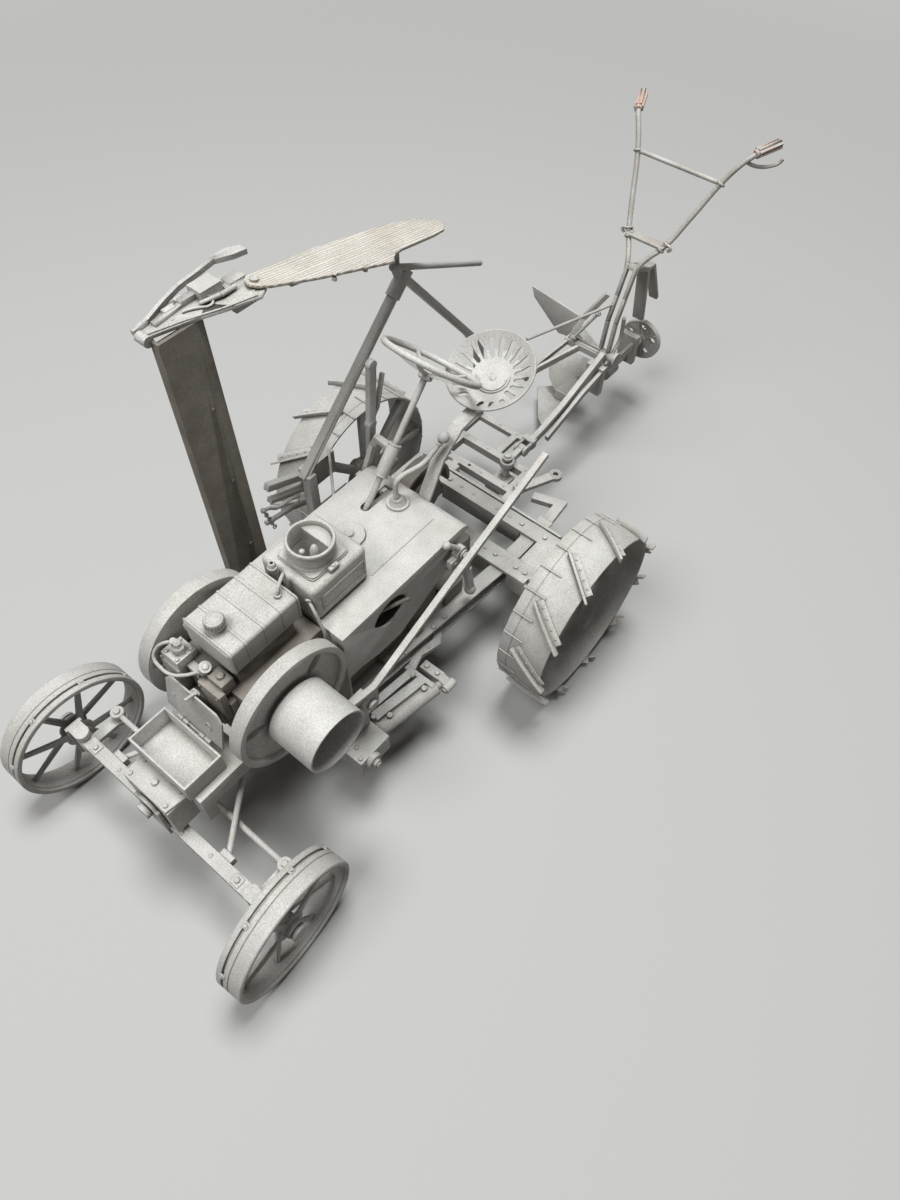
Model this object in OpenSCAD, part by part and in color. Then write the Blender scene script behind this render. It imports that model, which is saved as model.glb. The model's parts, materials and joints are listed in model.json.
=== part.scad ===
// Model farm tractor with a raised side mower and a two-handled turning plough.
// Millimetres, +X forward, +Y to the driver's left, +Z up, ground at z = 0.

/* [Overall] */
// Distance between the rear and the front wheel centres
wheelbase = 239; // [237:0.5:241]
// Offset from the rear axle to the middle of the whole outfit
middle_x = 5.2; // [5:0.1:7]

/* [Rear wheels] */
// Radius of the smooth rim
rear_rim_r = 56; // [55:0.5:57]
// Radius over the lugs, which is also the height of the rear axle
rear_lug_r = 60; // [59.5:0.5:60.5]
// Distance from the middle plane to the rim's inner edge
rear_inner_y = 75.9; // [75.5:0.1:77]
// Width of the rim
rear_rim_w = 29.9; // [29:0.1:31]
// Distance from the middle plane to the outer end of a lug
lug_outer_y = 111; // [110:0.5:112]
// Number of angle-iron lugs on each wheel
lug_count = 11; // [9:1:12]
// Number of thin grip ribs on each wheel
rib_count = 24; // [18:1:28]

/* [Front wheels] */
// Radius of the front tread, which is also the height of its centre
front_r = 40.2; // [39.8:0.1:40.6]
// Distance from the middle plane to the inner edge of the front rim
front_inner_y = 75.9; // [75.5:0.1:77]
// Width of the front rim
front_rim_w = 16; // [14:0.5:17]
// Number of spokes in a front wheel
front_spokes = 8; // [6:1:10]
// Toe of the left front wheel, in degrees
left_toe = 3.7; // [0:0.1:4]
// Distance from the middle plane to each king pin
king_y = 66.5; // [66:0.1:67]

/* [Engine] */
// Crankshaft centre, forward of the rear axle
crank_x = 170.3; // [169:0.1:172]
// Crankshaft centre height
crank_z = 112.5; // [111:0.1:114]
// Flywheel radius
flywheel_r = 35.3; // [34:0.1:36]
// Flywheel inner face
flywheel_y = 28.4; // [28:0.1:29]
// Flywheel thickness
flywheel_w = 7.7; // [7:0.1:8]
// Belt pulley radius
pulley_r = 18.2; // [17:0.1:19]
// Distance from the middle plane to the pulley's outer end
pulley_end_y = 64.2; // [60:0.1:66]

/* [Cover] */
// Half width of the gear cover
cover_half_w = 34.6; // [33:0.1:35]
// Height of the gear cover's flat top
cover_top = 128; // [127:0.1:129]
// Rear end of the gear cover
cover_rear = 34; // [33:0.1:35]
// Front end of the gear cover
cover_front = 134.4; // [134:0.1:134.8]

/* [Toolbox] */
// Toolbox length along the tractor
toolbox_l = 23.2; // [22:0.1:24]
// Toolbox width
toolbox_w = 41.6; // [40:0.1:43]
// Toolbox height
toolbox_h = 13.8; // [12:0.1:15]
// How far the open lid leans back from upright, in degrees
lid_lean = 13; // [5:1:30]

/* [Seat and controls] */
// Steering wheel radius to the middle of its rim
steer_r = 28.6; // [27:0.1:29]
// Seat radius
seat_r = 25.3; // [24:0.1:26]
// Seat tilt in degrees, rear edge high
seat_tilt = 21.9; // [15:0.1:25]
// Number of slots in the seat pan
seat_slots = 20; // [14:1:22]

/* [Mower] */
// Plane of the mower bar's tractor-side face
mower_y = -65; // [-66:0.5:-64]
// Height of the mower bar's hinge
mower_hinge_z = 20; // [18:1:24]
// Top of the raised mower bar
mower_top = 249; // [240:1:252]

/* [Plough] */
// Plane of the plough beam
plough_y = -13.5; // [-14:0.1:-13]
// Hitch pin behind the rear axle
hitch_x = -73; // [-74:0.5:-72]
// Rear end of the handle grips behind the rear axle
handle_end_x = -267.9; // [-270:0.1:-266]
// Index disc radius
disc_r = 16.5; // [15:0.5:18]

/* [Hidden] */
$fn = 48;
eps = 0.01;
metal = [0.74, 0.73, 0.70];
dark_metal = [0.45, 0.42, 0.38];
copper = [0.72, 0.50, 0.42];
slip = 0.05;
bend = 1.08;
rail_low = 48;
rail_top = 60;
rear_z = rear_lug_r;
front_z = front_r;
tank_x = [140.5, 184.4];
tank_z = [139.6, 156.2];
hopper_x = [96.7, 134.8];
hopper_top = 152.6;
ring_x = 117;
cap_x = 177;
lid_x = 206.6;
lid_z = 100.2;
king_x = 240.5;
pivot_z = 72;
steer_tilt = 40.5;
steer_hub = [11.65, -15, 187];
band_at = [8, 84];
gear_pivot = [51, -3.5, 134.8];
brake_pivot = [30.6, -40, 86.8];
rock_pivot = [48, 39, 118];
hand_pivot = [134, 48, 80];
seat_at = [-24.5, 0, 174.2];
mower_x = [98.8, 126.3];
mower_t = 5;
turn_z = 55.7;
hitch_z = 50;

// Moves the outfit so that its middle stands over the origin.
module placed() translate([-middle_x, 0, 0]) children();

// Round rod between two points.
module rod(a, b, r) {
    d = b - a;
    translate(a) rotate([0, acos(d.z / norm(d)), atan2(d.y, d.x)]) cylinder(h=norm(d), r=r);
}

// Flat bar between two points: w is across, t is in the upright plane of the bar.
module flat(a, b, w, t) {
    d = b - a;
    translate(a) rotate([0, acos(d.z / norm(d)), atan2(d.y, d.x)])
        translate([-t / 2, -w / 2, 0]) cube([t, w, norm(d)]);
}

// Rod through a list of points, with a ball at each bend.
module bent_rod(p, r) {
    for (i = [0:len(p) - 2]) rod(p[i], p[i + 1], r);
    for (i = [1:len(p) - 2]) translate(p[i]) sphere(r=r * bend);
}

// Flat bars end to end through a list of points.
module strut(p, w, t) for (i = [0:len(p) - 2]) flat(p[i], p[i + 1], w, t);

// Direction of a path at one of its points, and how far its edge runs out there.
function unit(v) = v / norm(v);
function heading(p, i) = i == 0 ? unit(p[1] - p[0]) : i == len(p) - 1 ? unit(p[i] - p[i - 1])
    : unit(unit(p[i] - p[i - 1]) + unit(p[i + 1] - p[i]));
function aside(d) = [-d.y, d.x];
function edge_point(p, i, t) = p[i] + aside(heading(p, i)) * t / 2
    / (aside(heading(p, i)) * aside(i == 0 ? unit(p[1] - p[0]) : unit(p[i] - p[i - 1])));

// One flat bar bent through points that share an upright plane along X.
module bent_flat(p, w, t) {
    q = [for (v = p) [v.x, v.z]];
    translate([0, p[0].y + w / 2, 0]) rotate([90, 0, 0]) linear_extrude(w)
        polygon(concat([for (i = [0:len(q) - 1]) edge_point(q, i, t)],
                       [for (i = [len(q) - 1:-1:0]) edge_point(q, i, -t)]));
}

// Cylinder along Y from one y to another.
module along_y(x, z, y0, y1, r) translate([x, y0, z]) rotate([-90, 0, 0]) cylinder(h=y1 - y0, r=r);

// Cylinder along X from one x to another.
module along_x(y, z, x0, x1, r) translate([x0, y, z]) rotate([0, 90, 0]) cylinder(h=x1 - x0, r=r);

// Box from its low corner to its high corner.
module span(lo, hi) translate(lo) cube(hi - lo);

// Both sides of the tractor.
module both() {
    children();
    mirror([0, 1, 0]) children();
}

// Box with rounded edges, for castings.
module soft_box(lo, hi, r) hull()
    for (x = [lo.x + r, hi.x - r], y = [lo.y + r, hi.y - r], z = [lo.z + r, hi.z - r])
        translate([x, y, z]) sphere(r=r, $fn=24);

// ---------------------------------------------------------------- frame
module frame_rails() color(metal) placed() both() difference() {
    translate([0, 0, rail_low]) linear_extrude(rail_top - rail_low)
        polygon([[-46, 34], [0, 34], [119, 23.5], [165, 20], [165, 29], [119, 33.3], [0, 44], [-46, 44]]);
    translate([0, 0, rail_low + 1.6]) linear_extrude(rail_top - rail_low - 3.2)
        polygon([[-48, 36], [0, 36], [119, 25.5], [166, 22], [166, 60], [-48, 60]]);
}

module front_bolster() color(metal) placed() {
    both() difference() {
        span([150, 21.9, 62], [229, 21.9, 62] + [0, 3, 24]);
        span([150 - eps, 10, 61], [222, 30, 74]);
    }
    span([196, -21.9, 78], [229, 21.9, 86]);
    difference() {
        span([229, -16.5, 60], [243, 16.5, 84]);
        span([231, -13, 59], [241, 13, 64]);
    }
    translate([0, 0, 84]) linear_extrude(2)
        polygon([[229, -17.4], [243, -15.6], [243, 15.6], [229, 17.4]]);
    for (x = [231.5, 240.5], y = [-13.2, 13.2]) translate([x, y, 86]) cylinder(h=1, r=1.2, $fn=6);
    along_x(0, pivot_z, 243, 249, 3);
    along_x(0, pivot_z, 246, 249, 4.5);
}

module rear_axle() color(metal) placed() {
    both() difference() {
        span([-6.2, 0, 48], [7.4, 63, 62.5]);
        span([-4, -1, 46], [5.2, 61, 60.9]);
        span([-6.3, 32, 47], [7.5, 46, 60]);
        span([2.4, 59, 60], [8, 64, 63]);
    }
    both() {
        along_y(0, rear_z, 58, 90, 3);
        along_y(0, rear_z, 63, 68, 5);
        along_y(0, rear_z, 88.2, 90, 4.6);
    }
}

module rear_crossbeam() color(metal) placed() {
    difference() {
        span([-36, -62, 48], [-25, 62, 62]);
        span([-34.6, -63, 47], [-26.4, 63, 60.6]);
        for (s = [-1, 1]) span([-37, s * 39 - 7, 47], [-24, s * 39 + 7, 60]);
    }
    both() span([-25, 46, 60.9], [-6.2, 62, 62.3]);
    span([-40, -60, 55], [-38, 55, 61]);
    for (y = [-58, -20, 20, 53]) along_x(y, 58, -38, -36, 1.6);
    translate([0, 0, 56]) linear_extrude(4)
        polygon([[-46, 36], [-46, 43], [-67, 41], [-60, 19], [-54, 20.5], [-58.6, 35]]);
}

module hitch_frame() color(metal) placed() {
    difference() {
        union() {
            span([-60, -60, 46], [-54, 8, 52]);
            span([-81, -60, 46], [-75.5, 4, 52]);
            span([-106, -66, 47], [-101, -22, 51]);
            for (y = [-60, -2]) span([-75.5, y, 46], [-60, y + 6, 52]);
            for (y = [-64, -30]) span([-101, y, 47], [-81, y + 5, 51]);
            for (y = [-46, 1]) span([-54, y, 48], [-36, y + 5, 52]);
        }
        for (y = [-52, -34]) translate([-57, y, 40]) cylinder(h=20, r=1.1);
    }
    translate([hitch_x, plough_y, 40]) cylinder(h=19.5, r=2.4);
    span([-75.5, plough_y - 6, 40], [-60, plough_y + 6, 43]);
    span([-60, plough_y - 6, 40], [-57, plough_y + 6, 46]);
    translate([hitch_x, plough_y, 59.5]) cylinder(h=2, r=3.6);
    difference() {
        union() {
            flat([-62, 7, 53.4], [-84, 17.1, 53.4], 6.4, 3);
            translate([-86.6, 18.2, 51.9]) cylinder(h=3, r=4.6);
        }
        translate([-86.6, 18.2, 50]) cylinder(h=7, r=2);
    }
    translate([-61, 6, 51.9]) cylinder(h=5, r=4.2);
}

// ---------------------------------------------------------------- toolbox
module toolbox() color(metal) placed() {
    x0 = 231.2 - toolbox_l;
    difference() {
        span([x0, -toolbox_w / 2, 86], [231.2, toolbox_w / 2, 86 + toolbox_h]);
        span([x0 + 1.2, -toolbox_w / 2 + 1.2, 87.2], [230, toolbox_w / 2 - 1.2, 110]);
    }
    for (y = [-7.6, 4.2]) {
        along_y(lid_x, lid_z, y, y + 3.4, 1.2);
        span([lid_x - 0.2, y, 97], [x0, y + 3.4, 99.2]);
    }
    along_y(lid_x, lid_z, -12, 12, 0.6);
}

module lid_pose() translate([lid_x, 0, lid_z]) rotate([0, -90 - lid_lean, 0]) children();

module toolbox_lid() color(metal) placed() lid_pose() {
    translate([0, 0, 0.2]) linear_extrude(1)
        polygon([[1.8, -20], [21.5, -20], [25.6, -16], [25.6, 16], [21.5, 20], [1.8, 20]]);
    for (y = [-12, 8]) difference() {
        union() {
            along_y(0, 0, y, y + 4, 1.2);
            span([0, y, 0.2], [2, y + 4, 1.2]);
        }
        along_y(0, 0, y - 1, y + 5, 0.65);
    }
    translate([26.2, 0, -4.4]) cylinder(h=8, r=0.8);
    span([23, -1.2, 1.2], [26.6, 1.2, 2.2]);
    along_y(26.2, 3, -2.4, 2.4, 0.7);
}

// ---------------------------------------------------------------- engine
module engine_block() color(dark_metal) placed() difference() {
    union() {
        span([136, -24, rail_top], [160, 24, 74]);
        span([136, -21.9, 74], [188, 21.9, 128]);
        span([146, -14, 128], [182, 14, tank_z[0]]);
        span([188, -17, 86], [192, 17, 124]);
        for (s = [-1, 1]) along_y(crank_x, crank_z, s * 24.4 - 2.5, s * 24.4 + 2.5, 12);
        translate([172, 0, pivot_z]) sphere(r=5);
    }
    along_y(crank_x, crank_z, -30, 30, 6 + slip);
    translate([172, 0, pivot_z]) sphere(r=3.3);
    span([171, -6, 60], [180, 6, 75.9]);
}

module fuel_tank() color(metal) placed() {
    difference() {
        span([tank_x[0], -16, tank_z[0]], [tank_x[1], 16, tank_z[1]]);
        for (x = [151.5, 162.5, 173.5]) span([x, -17, tank_z[1] - 0.4], [x + 0.6, 17, tank_z[1] + 1]);
    }
    translate([cap_x, 0, tank_z[1]]) cylinder(h=2.5, r=3);
    span([180, -17.6, 146], [184, -16, 150]);
}

module tank_cap() color(metal) placed() difference() {
    union() {
        translate([cap_x, 0, tank_z[1] + 0.3]) cylinder(h=2.6, r=3.9);
        translate([cap_x, 0, tank_z[1] + 2]) cylinder(h=2.8, r=4.5);
    }
    translate([cap_x, 0, tank_z[1]]) cylinder(h=2.7, r=3.1);
}

module hopper() color(metal) placed() difference() {
    soft_box([hopper_x[0], -18.2, cover_top], [hopper_x[1], 18.2, hopper_top], 3);
    translate([ring_x, 1, 135]) cylinder(h=20, r=10.6);
}

module filler_ring() color(metal) placed() difference() {
    union() {
        translate([ring_x, 1, hopper_top]) cylinder(h=12.4, r=12.4);
        span([ring_x - 12.8, -11.8, hopper_top], [ring_x + 12.8, 13.8, hopper_top + 1.6]);
        for (y = [-14.6, 13.8]) span([ring_x - 3, y, hopper_top], [ring_x + 3, y + 2.8, hopper_top + 3]);
    }
    translate([ring_x, 1, hopper_top - 1]) cylinder(h=15, r=10.6);
}

module hopper_baffle() color(metal) placed() {
    intersection() {
        translate([ring_x, 1, 150]) cylinder(h=9, r=10.6);
        translate([ring_x, 1, 150]) rotate([0, 0, 30]) translate([-12, 1.5, 0]) cube([24, 12, 9]);
    }
    translate([ring_x + 1, -3, 135]) cylinder(h=16, r=2.6);
    translate([ring_x + 1, -3, 151]) sphere(r=2.6);
}

module injection_pump() color(metal) placed() {
    span([192, -27, 108], [197, -13, 128]);
    span([184.6, -24, 128], [196, -13, 134]);
    translate([190, -18, 134]) cylinder(h=4, r=3);
    translate([190, -18, 138]) cylinder(h=3, r=2, $fn=6);
    span([186, -26, 124], [196, -24, 132]);
}

module injector() color(metal) placed() {
    rod([190, -9, 113], [190, 0.5, 137], 2.2);
    rod([190, -1, 133.2], [190, 1.8, 140.3], 3);
    span([187.5, -13, 124], [192, -4, 128]);
}

module fuel_pipe() color(metal) placed()
    for (p = [[[190.4, -20.6, 139.4], [196.8, -26, 134]], [[196.4, -25.6, 134.6], [200.8, -25.4, 129]],
              [[200.7, -26, 129.4], [200.4, -15, 129.2]], [[200.8, -16, 129], [194, -2.6, 134.6]]])
        rod(p[0], p[1], 0.9);

module valve_box() color(dark_metal) placed() {
    span([192, 1, 112], [196, 16, 134]);
    span([192, -12, 96], [195, 8, 110]);
    along_x(-3, 103, 195, 197, 3.4);
    along_x(-3, 103, 197, 199, 1.8);
    span([184.6, 4, 128], [192, 14, 137]);
}

module drain_pipe() color(metal) placed()
    for (p = [[[135.6, 15.2, 146], [136.6, 21.4, 136.4]], [[136.5, 20.8, 137], [137, 25, 127]],
              [[137, 24.8, 128], [137.4, 25.2, 112]]])
        rod(p[0], p[1], 0.9);

module whistle() color(metal) placed() {
    rod([137.3, -5, 128], [137.3, -5, 158], 2.6);
    rod([137.3, -5, 158], [137.3, -5, 160.6], 1.8);
    bent_rod([[137.6, 3, 128], [137.6, 3, 160], [141, 6, 162], [146, 8, 160], [147, 8.6, 156]], 0.9);
}

module crankshaft() color(dark_metal) placed() {
    along_y(crank_x, crank_z, -flywheel_y - flywheel_w - 2, pulley_end_y - 20, 6);
    along_y(crank_x, crank_z, -flywheel_y - flywheel_w - 2, -flywheel_y - flywheel_w, 7.5);
}

// Flywheel from its inner face outwards, with lens-shaped holes in its web.
module flywheel() difference() {
    rotate([-90, 0, 0]) rotate_extrude()
        polygon([[6, 0], [flywheel_r, 0], [flywheel_r, flywheel_w], [flywheel_r - 3.2, flywheel_w],
                 [flywheel_r - 3.2, flywheel_w - 2.4], [15, flywheel_w - 2.4], [13, flywheel_w], [6, flywheel_w]]);
    for (a = [55, 175, 295]) rotate([0, a, 0]) translate([0, -1, 0]) intersection() {
        translate([24.5, 0, -9]) rotate([-90, 0, 0]) cylinder(h=12, r=12);
        translate([24.5, 0, 9]) rotate([-90, 0, 0]) cylinder(h=12, r=12);
    }
}

module flywheel_left() color(metal) placed() translate([crank_x, flywheel_y, crank_z]) flywheel();

module flywheel_right() color(metal) placed() mirror([0, 1, 0])
    translate([crank_x, flywheel_y, crank_z]) flywheel();

module belt_pulley() color(metal) placed() difference() {
    along_y(crank_x, crank_z, flywheel_y + flywheel_w, pulley_end_y, pulley_r);
    along_y(crank_x, crank_z, flywheel_y + flywheel_w + 5, pulley_end_y + 1, pulley_r - 1.2);
    along_y(crank_x, crank_z, flywheel_y, pulley_end_y, 6);
}

// ---------------------------------------------------------------- gear cover and controls
// What is left open under the cover's side plates.
module side_gap() polygon([[33, 59], [33, 112], [46, 107], [58.2, 101.2], [92.7, 84.6], [110, 85], [123.3, 88.9],
                           [132.9, 89.5], [132.9, 59]]);

module gear_cover() color(metal) placed() {
    difference() {
        union() {
            span([cover_rear + 8, -cover_half_w, rail_top], [cover_front, cover_half_w, cover_top]);
            along_y(cover_rear + 8, cover_top - 8, -cover_half_w, cover_half_w, 8);
            span([cover_rear, -cover_half_w, 96], [cover_rear + 9, cover_half_w, cover_top - 8]);
        }
        span([cover_rear + 1.4, 1.4 - cover_half_w, 59], [cover_front - 1.4, cover_half_w - 1.4, cover_top - 6]);
        span([cover_rear + 8, 1.4 - cover_half_w, 115], [cover_front - 1.4, cover_half_w - 1.4, cover_top - 1.4]);
        intersection() {
            along_y(99.6, 110.1, cover_half_w - 3, cover_half_w + 1, 13.2);
            along_y(99.6, 117.9, cover_half_w - 3, cover_half_w + 1, 13.2);
        }
        span([44, -19, 118], [66.5, -11, 130]);
        along_y(28, 98, -40, 40, 27);
        span([cover_rear, -40, 59], [cover_rear + 11, 40, 80]);
        translate([0, 40, 0]) rotate([90, 0, 0]) linear_extrude(80) side_gap();
    }
    translate([50, -3.5, cover_top]) cylinder(h=1.4, r=6.4);
    translate([50, -3.5, cover_top + 1.4]) cylinder(h=3.2, r1=5, r2=3.2);
    translate([84, -8, cover_top]) cylinder(h=1.4, r=8.5);
    along_y(rock_pivot.x, rock_pivot.z, cover_half_w, 42, 1.8);
    along_y(rock_pivot.x, rock_pivot.z, 41.4, 42.4, 3);
    span([cover_front - 16, 18.3, cover_top - 9], [cover_front, 20, cover_top - 1.4]);
}

module gearbox() color(dark_metal) placed() {
    span([52, -26, rail_top], [128, 26, 100]);
    along_y(band_at.x, band_at.y, -30, -19, 15);
    difference() {
        along_y(band_at.x, band_at.y, -30, -20, 25);
        along_y(band_at.x, band_at.y, -31, -19, 22.6);
        span([-20, -31, 50], [26, -19, 82]);
    }
    span([24, -30, 64], [52, -20, 84]);
    span([12, -20, 64], [52, 20, 82]);
    both() span([34, 20, rail_top], [50, 32, 72]);
    both() span([84, 26, 90], [108, cover_half_w - 1.4, 97]);
    both() span([72, 26, rail_top], [78, 33, 66]);
    both() span([98, 26, rail_top], [104, 31, 66]);
    bent_rod([[100, 24, 98], [103, 28, 110], [103.2, 31.6, 116.6], [96.4, 35, 117.6], [88.4, 37, 115.8]], 1.2);
}

module steering_axis() translate(steer_hub) rotate([0, 180 - steer_tilt, 0]) children();

module steering_tube() color(metal) placed() {
    difference() {
        steering_axis() translate([0, 0, 40]) cylinder(h=19.5, r=3.7);
        steering_axis() cylinder(h=90, r=1.8 + slip);
    }
    flat([39, -17.6, 153], [33, -33, 146], 4, 3);
    strut([[33, -32.4, 147], [34, -35.6, 140], [42, -36, 122]], 2.8, 4);
}

module steering_shaft() color(metal) placed() steering_axis() cylinder(h=92, r=1.8);

module steering_wheel() color(metal) placed() translate(steer_hub) rotate([0, -steer_tilt, 0]) {
    translate([0, 0, 6.4]) rotate_extrude() translate([steer_r - 1.8, 0]) circle(r=1.8, $fn=20);
    for (a = [15:72:359]) rotate([0, 0, a]) rod([2, 0, 0], [steer_r - 2, 0, 6.2], 1.1);
    difference() {
        translate([0, 0, -3]) cylinder(h=6, r=4);
        translate([0, 0, -4]) cylinder(h=4, r=1.8);
    }
}

module gear_lever() color(metal) placed() {
    bent_rod([gear_pivot, [51.4, -3.5, 145], [46, -2, 148], [35, 2, 150.5],
              [24, 4.5, 159.4]], 1.5);
    translate(gear_pivot) sphere(r=1.9);
    along_y(gear_pivot.x, gear_pivot.z, gear_pivot.y - 2.6, gear_pivot.y + 2.6, 0.7);
    translate([21.5, 5, 162]) sphere(r=3.4);
}

module brake_quadrant() color(metal) placed() {
    span([22, -37.6, rail_top], [44, -34.6, 92]);
    along_y(brake_pivot.x, brake_pivot.z, -43, -37.6, 1.6);
    along_y(brake_pivot.x, brake_pivot.z, -44.4, -43, 3);
    span([14, -37.6, 108], [48, -35.6, 113]);
    span([44, -37.6, 88], [48, -34.6, 126]);
}

module brake_lever() color(metal) placed() difference() {
    union() {
        bent_flat([[30.6, -40.3, 86.8], [31.5, -40.3, 130.7], [26.6, -40.3, 188]], 3.2, 5);
        along_y(brake_pivot.x, brake_pivot.z, -41.9, -38.7, 4.4);
        along_y(26.6, 188.5, -41.9, -38.7, 3.1);
        bent_flat([[31, -40.3, 150], [24, -40.3, 158], [18.5, -40.3, 178]], 2.2, 2);
        along_y(30, 150, -42.3, -38.3, 3);
    }
    along_y(brake_pivot.x, brake_pivot.z, -45, -35, 1.6 + slip);
}

module rock_arm() color(metal) placed() difference() {
    union() {
        along_y(rock_pivot.x, rock_pivot.z, 37, 41, 4);
        flat([48, 39, 118], [41, 39.6, 97], 3.4, 4.4);
        flat([41.4, 39.6, 98.4], [37, 40, 73], 3.4, 4);
        translate([37, 40, 72]) sphere(r=3.6);
        rod([48, 39, 120], [57.4, 38, 131.4], 1.7);
        translate([58, 37.8, 131.8]) sphere(r=2.4);
        span([50, 37.4, 111], [57, 40.6, 117]);
    }
    along_y(rock_pivot.x, rock_pivot.z, 30, 41.2, 1.8 + slip);
}

module hand_lever() color(metal) placed() difference() {
    union() {
        bent_flat([[146, 48, 94], [129.3, 48, 89.6], [58.9, 48, 120.2], [-13.8, 48, 150.7]], 3.6, 3.2);
        span([128, 46.4, 74], [140, 49.6, 89]);
    }
    along_y(hand_pivot.x, hand_pivot.z, 40, 55, 1.8 + slip);
}

module seat_spring() color(metal) placed() {
    bent_flat([[38, 4, 122], [33, 4, 131], [24, 4, 148], [9, 4, 160], [-3, 4, 161.2], [-17, 4, 161]], 8, 2);
    span([34.2, 0, 110], [42, 8, 123]);
}

// Round pan seat with slots that open out towards its rim.
module seat() color(metal) placed() translate(seat_at) rotate([0, seat_tilt, 0]) difference() {
    rotate_extrude() polygon([[0, -9], [10, -8.6], [17, -6.4], [22, -2.6], [seat_r, 0.6], [seat_r - 0.4, 2],
                              [21.4, -0.8], [16.4, -4.6], [9.6, -6.8], [0, -7.2]]);
    for (i = [1:seat_slots - 1]) rotate([0, 0, i * 360 / seat_slots]) translate([0, 0, -10]) {
        linear_extrude(14) polygon([[i < 4 || i > seat_slots - 4 ? 15.6 : 12, -0.7], [21.4, -1.5], [22.4, -1],
                                    [22.4, 1], [21.4, 1.5], [i < 4 || i > seat_slots - 4 ? 15.6 : 12, 0.7]]);
    }
}

// ---------------------------------------------------------------- left side drive
module side_gearbox() color(metal) placed() {
    span([132, 40, 35], [155, 59, 50]);
    along_y(147, 45, 59, 62, 5);
    along_y(147, 45, 62, 64, 2.6);
    span([133, 41.4, 50], [147, 45.6, 86]);
    along_y(hand_pivot.x, hand_pivot.z, 45.6, 52, 1.8);
    along_y(hand_pivot.x, hand_pivot.z, 50.2, 52, 3.2);
    span([134, 24, 40], [146, 40, rail_low]);
}

module shaft_housing() color(metal) placed() {
    rod([132, 49.5, 42.5], [90, 57.5, 45], 4.6);
    flat([128, 44, 47], [92, 50, 48.6], 6, 3);
    flat([128, 38, 47.5], [92, 42, 49], 5, 3);
    flat([92, 37, 47], [92, 58, 47], 3, 6);
    for (p = [[122, 50.6, 48], [97, 55, 49.6]]) translate(p) cylinder(h=2, r=1.8, $fn=6);
}

module crank_arm() color(metal) placed() {
    rod([89.6, 57.6, 45], [82, 59, 45.3], 2.6);
    flat([84, 43, 47.6], [84, 57, 47.8], 6, 3.4);
    flat([84, 55.6, 48], [84, 64, 44.8], 5.6, 3.4);
    along_x(63, 45.4, 80, 88, 2.8);
    flat([91, 40, 47.6], [79, 36.6, 49], 5, 3.4);
    flat([81, 37, 48.8], [67, 40.6, 49.4], 5, 3.4);
    flat([69, 41, 49.2], [62, 36, 49.8], 5, 3.4);
}

// ---------------------------------------------------------------- front axle
module axle_bar() color(metal) placed() {
    difference() {
        span([237, -70, 49], [244.2, 70, 56]);
        for (s = [-1, 1]) translate([king_x, s * king_y, 45]) cylinder(h=15, r=2 + slip);
    }
    difference() {
        union() {
            span([243.5, -9, 49], [245.5, 9, 76]);
            along_x(0, pivot_z, 243.5, 245.5, 8);
        }
        along_x(0, pivot_z, 240, 250, 3 + slip);
    }
}

module stay_rods() color(metal) placed() {
    both() {
        rod([235, 42, 52.5], [174, 0.6, 71], 1.6);
        span([233.5, 38, 49.5], [237, 46, 55.5]);
    }
    translate([172, 0, pivot_z]) sphere(r=3);
}

// Fork and spindle for one side; toe turns the spindle about the king pin.
module knuckle(toe) {
    translate([king_x, king_y, 44]) cylinder(h=16, r=2);
    for (z = [44, 56.3]) {
        translate([king_x, king_y, z]) cylinder(h=4.7, r=4.2);
        span([king_x - 4, king_y, z], [king_x + 4, king_y + 8, z + 4.7]);
    }
    span([king_x - 5, 72.2, 34], [king_x + 5, 74.4, 61]);
    span([217, king_y - 3, 44], [king_x, king_y + 3, 47]);
    translate([219.5, king_y, 44]) cylinder(h=3, r=4);
    translate([219.5, king_y, 47]) cylinder(h=7, r=1.6);
    turned(toe) along_y(king_x - 1.5, front_z, 73.4, 93.4, 3);
    turned(toe) along_y(king_x - 1.5, front_z, 91.6, 93.4, 4.6);
}

module turned(toe) translate([king_x, king_y, 0]) rotate([0, 0, toe]) translate([-king_x, -king_y, 0])
    children();

module knuckle_left() color(metal) placed() knuckle(left_toe);

module knuckle_right() color(metal) placed() mirror([0, 1, 0]) knuckle(0);

module front_wheel() translate([wheelbase, front_inner_y, front_z]) {
    rotate([-90, 0, 0]) rotate_extrude($fn=96)
        polygon([[front_r - 2.6, 0], [front_r, 0], [front_r, 3.4], [front_r - 0.8, 3.4], [front_r - 0.8, 4.2],
                 [front_r, 4.2], [front_r, front_rim_w], [front_r - 2.6, front_rim_w],
                 [front_r - 2.6, front_rim_w - 2], [front_r - 3.8, front_rim_w - 2], [front_r - 3.8, 2],
                 [front_r - 2.6, 2]]);
    difference() {
        union() {
            rotate([-90, 0, 0]) translate([0, 0, 0.6]) cylinder(h=14, r=6);
            for (i = [0:front_spokes - 1]) rotate([0, (i + 0.5) * 360 / front_spokes, 0])
                rod([4, 7.6 + (i % 2 == 0 ? 3.4 : -3.4), 0], [front_r - 3.2, 8, 0], 1.4);
        }
        rotate([-90, 0, 0]) translate([0, 0, -1]) cylinder(h=20, r=3 + slip);
    }
}

module front_wheel_left() color(metal) placed() turned(left_toe) front_wheel();

module front_wheel_right() color(metal) placed() mirror([0, 1, 0]) front_wheel();

module tie_rod() color(metal) placed() {
    rod([219.5, -king_y + 3, 51], [219.5, king_y - 3, 51], 1.6);
    both() difference() {
        translate([219.5, king_y, 49]) cylinder(h=4, r=3.8);
        translate([219.5, king_y, 40]) cylinder(h=20, r=1.7);
    }
}

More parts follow.
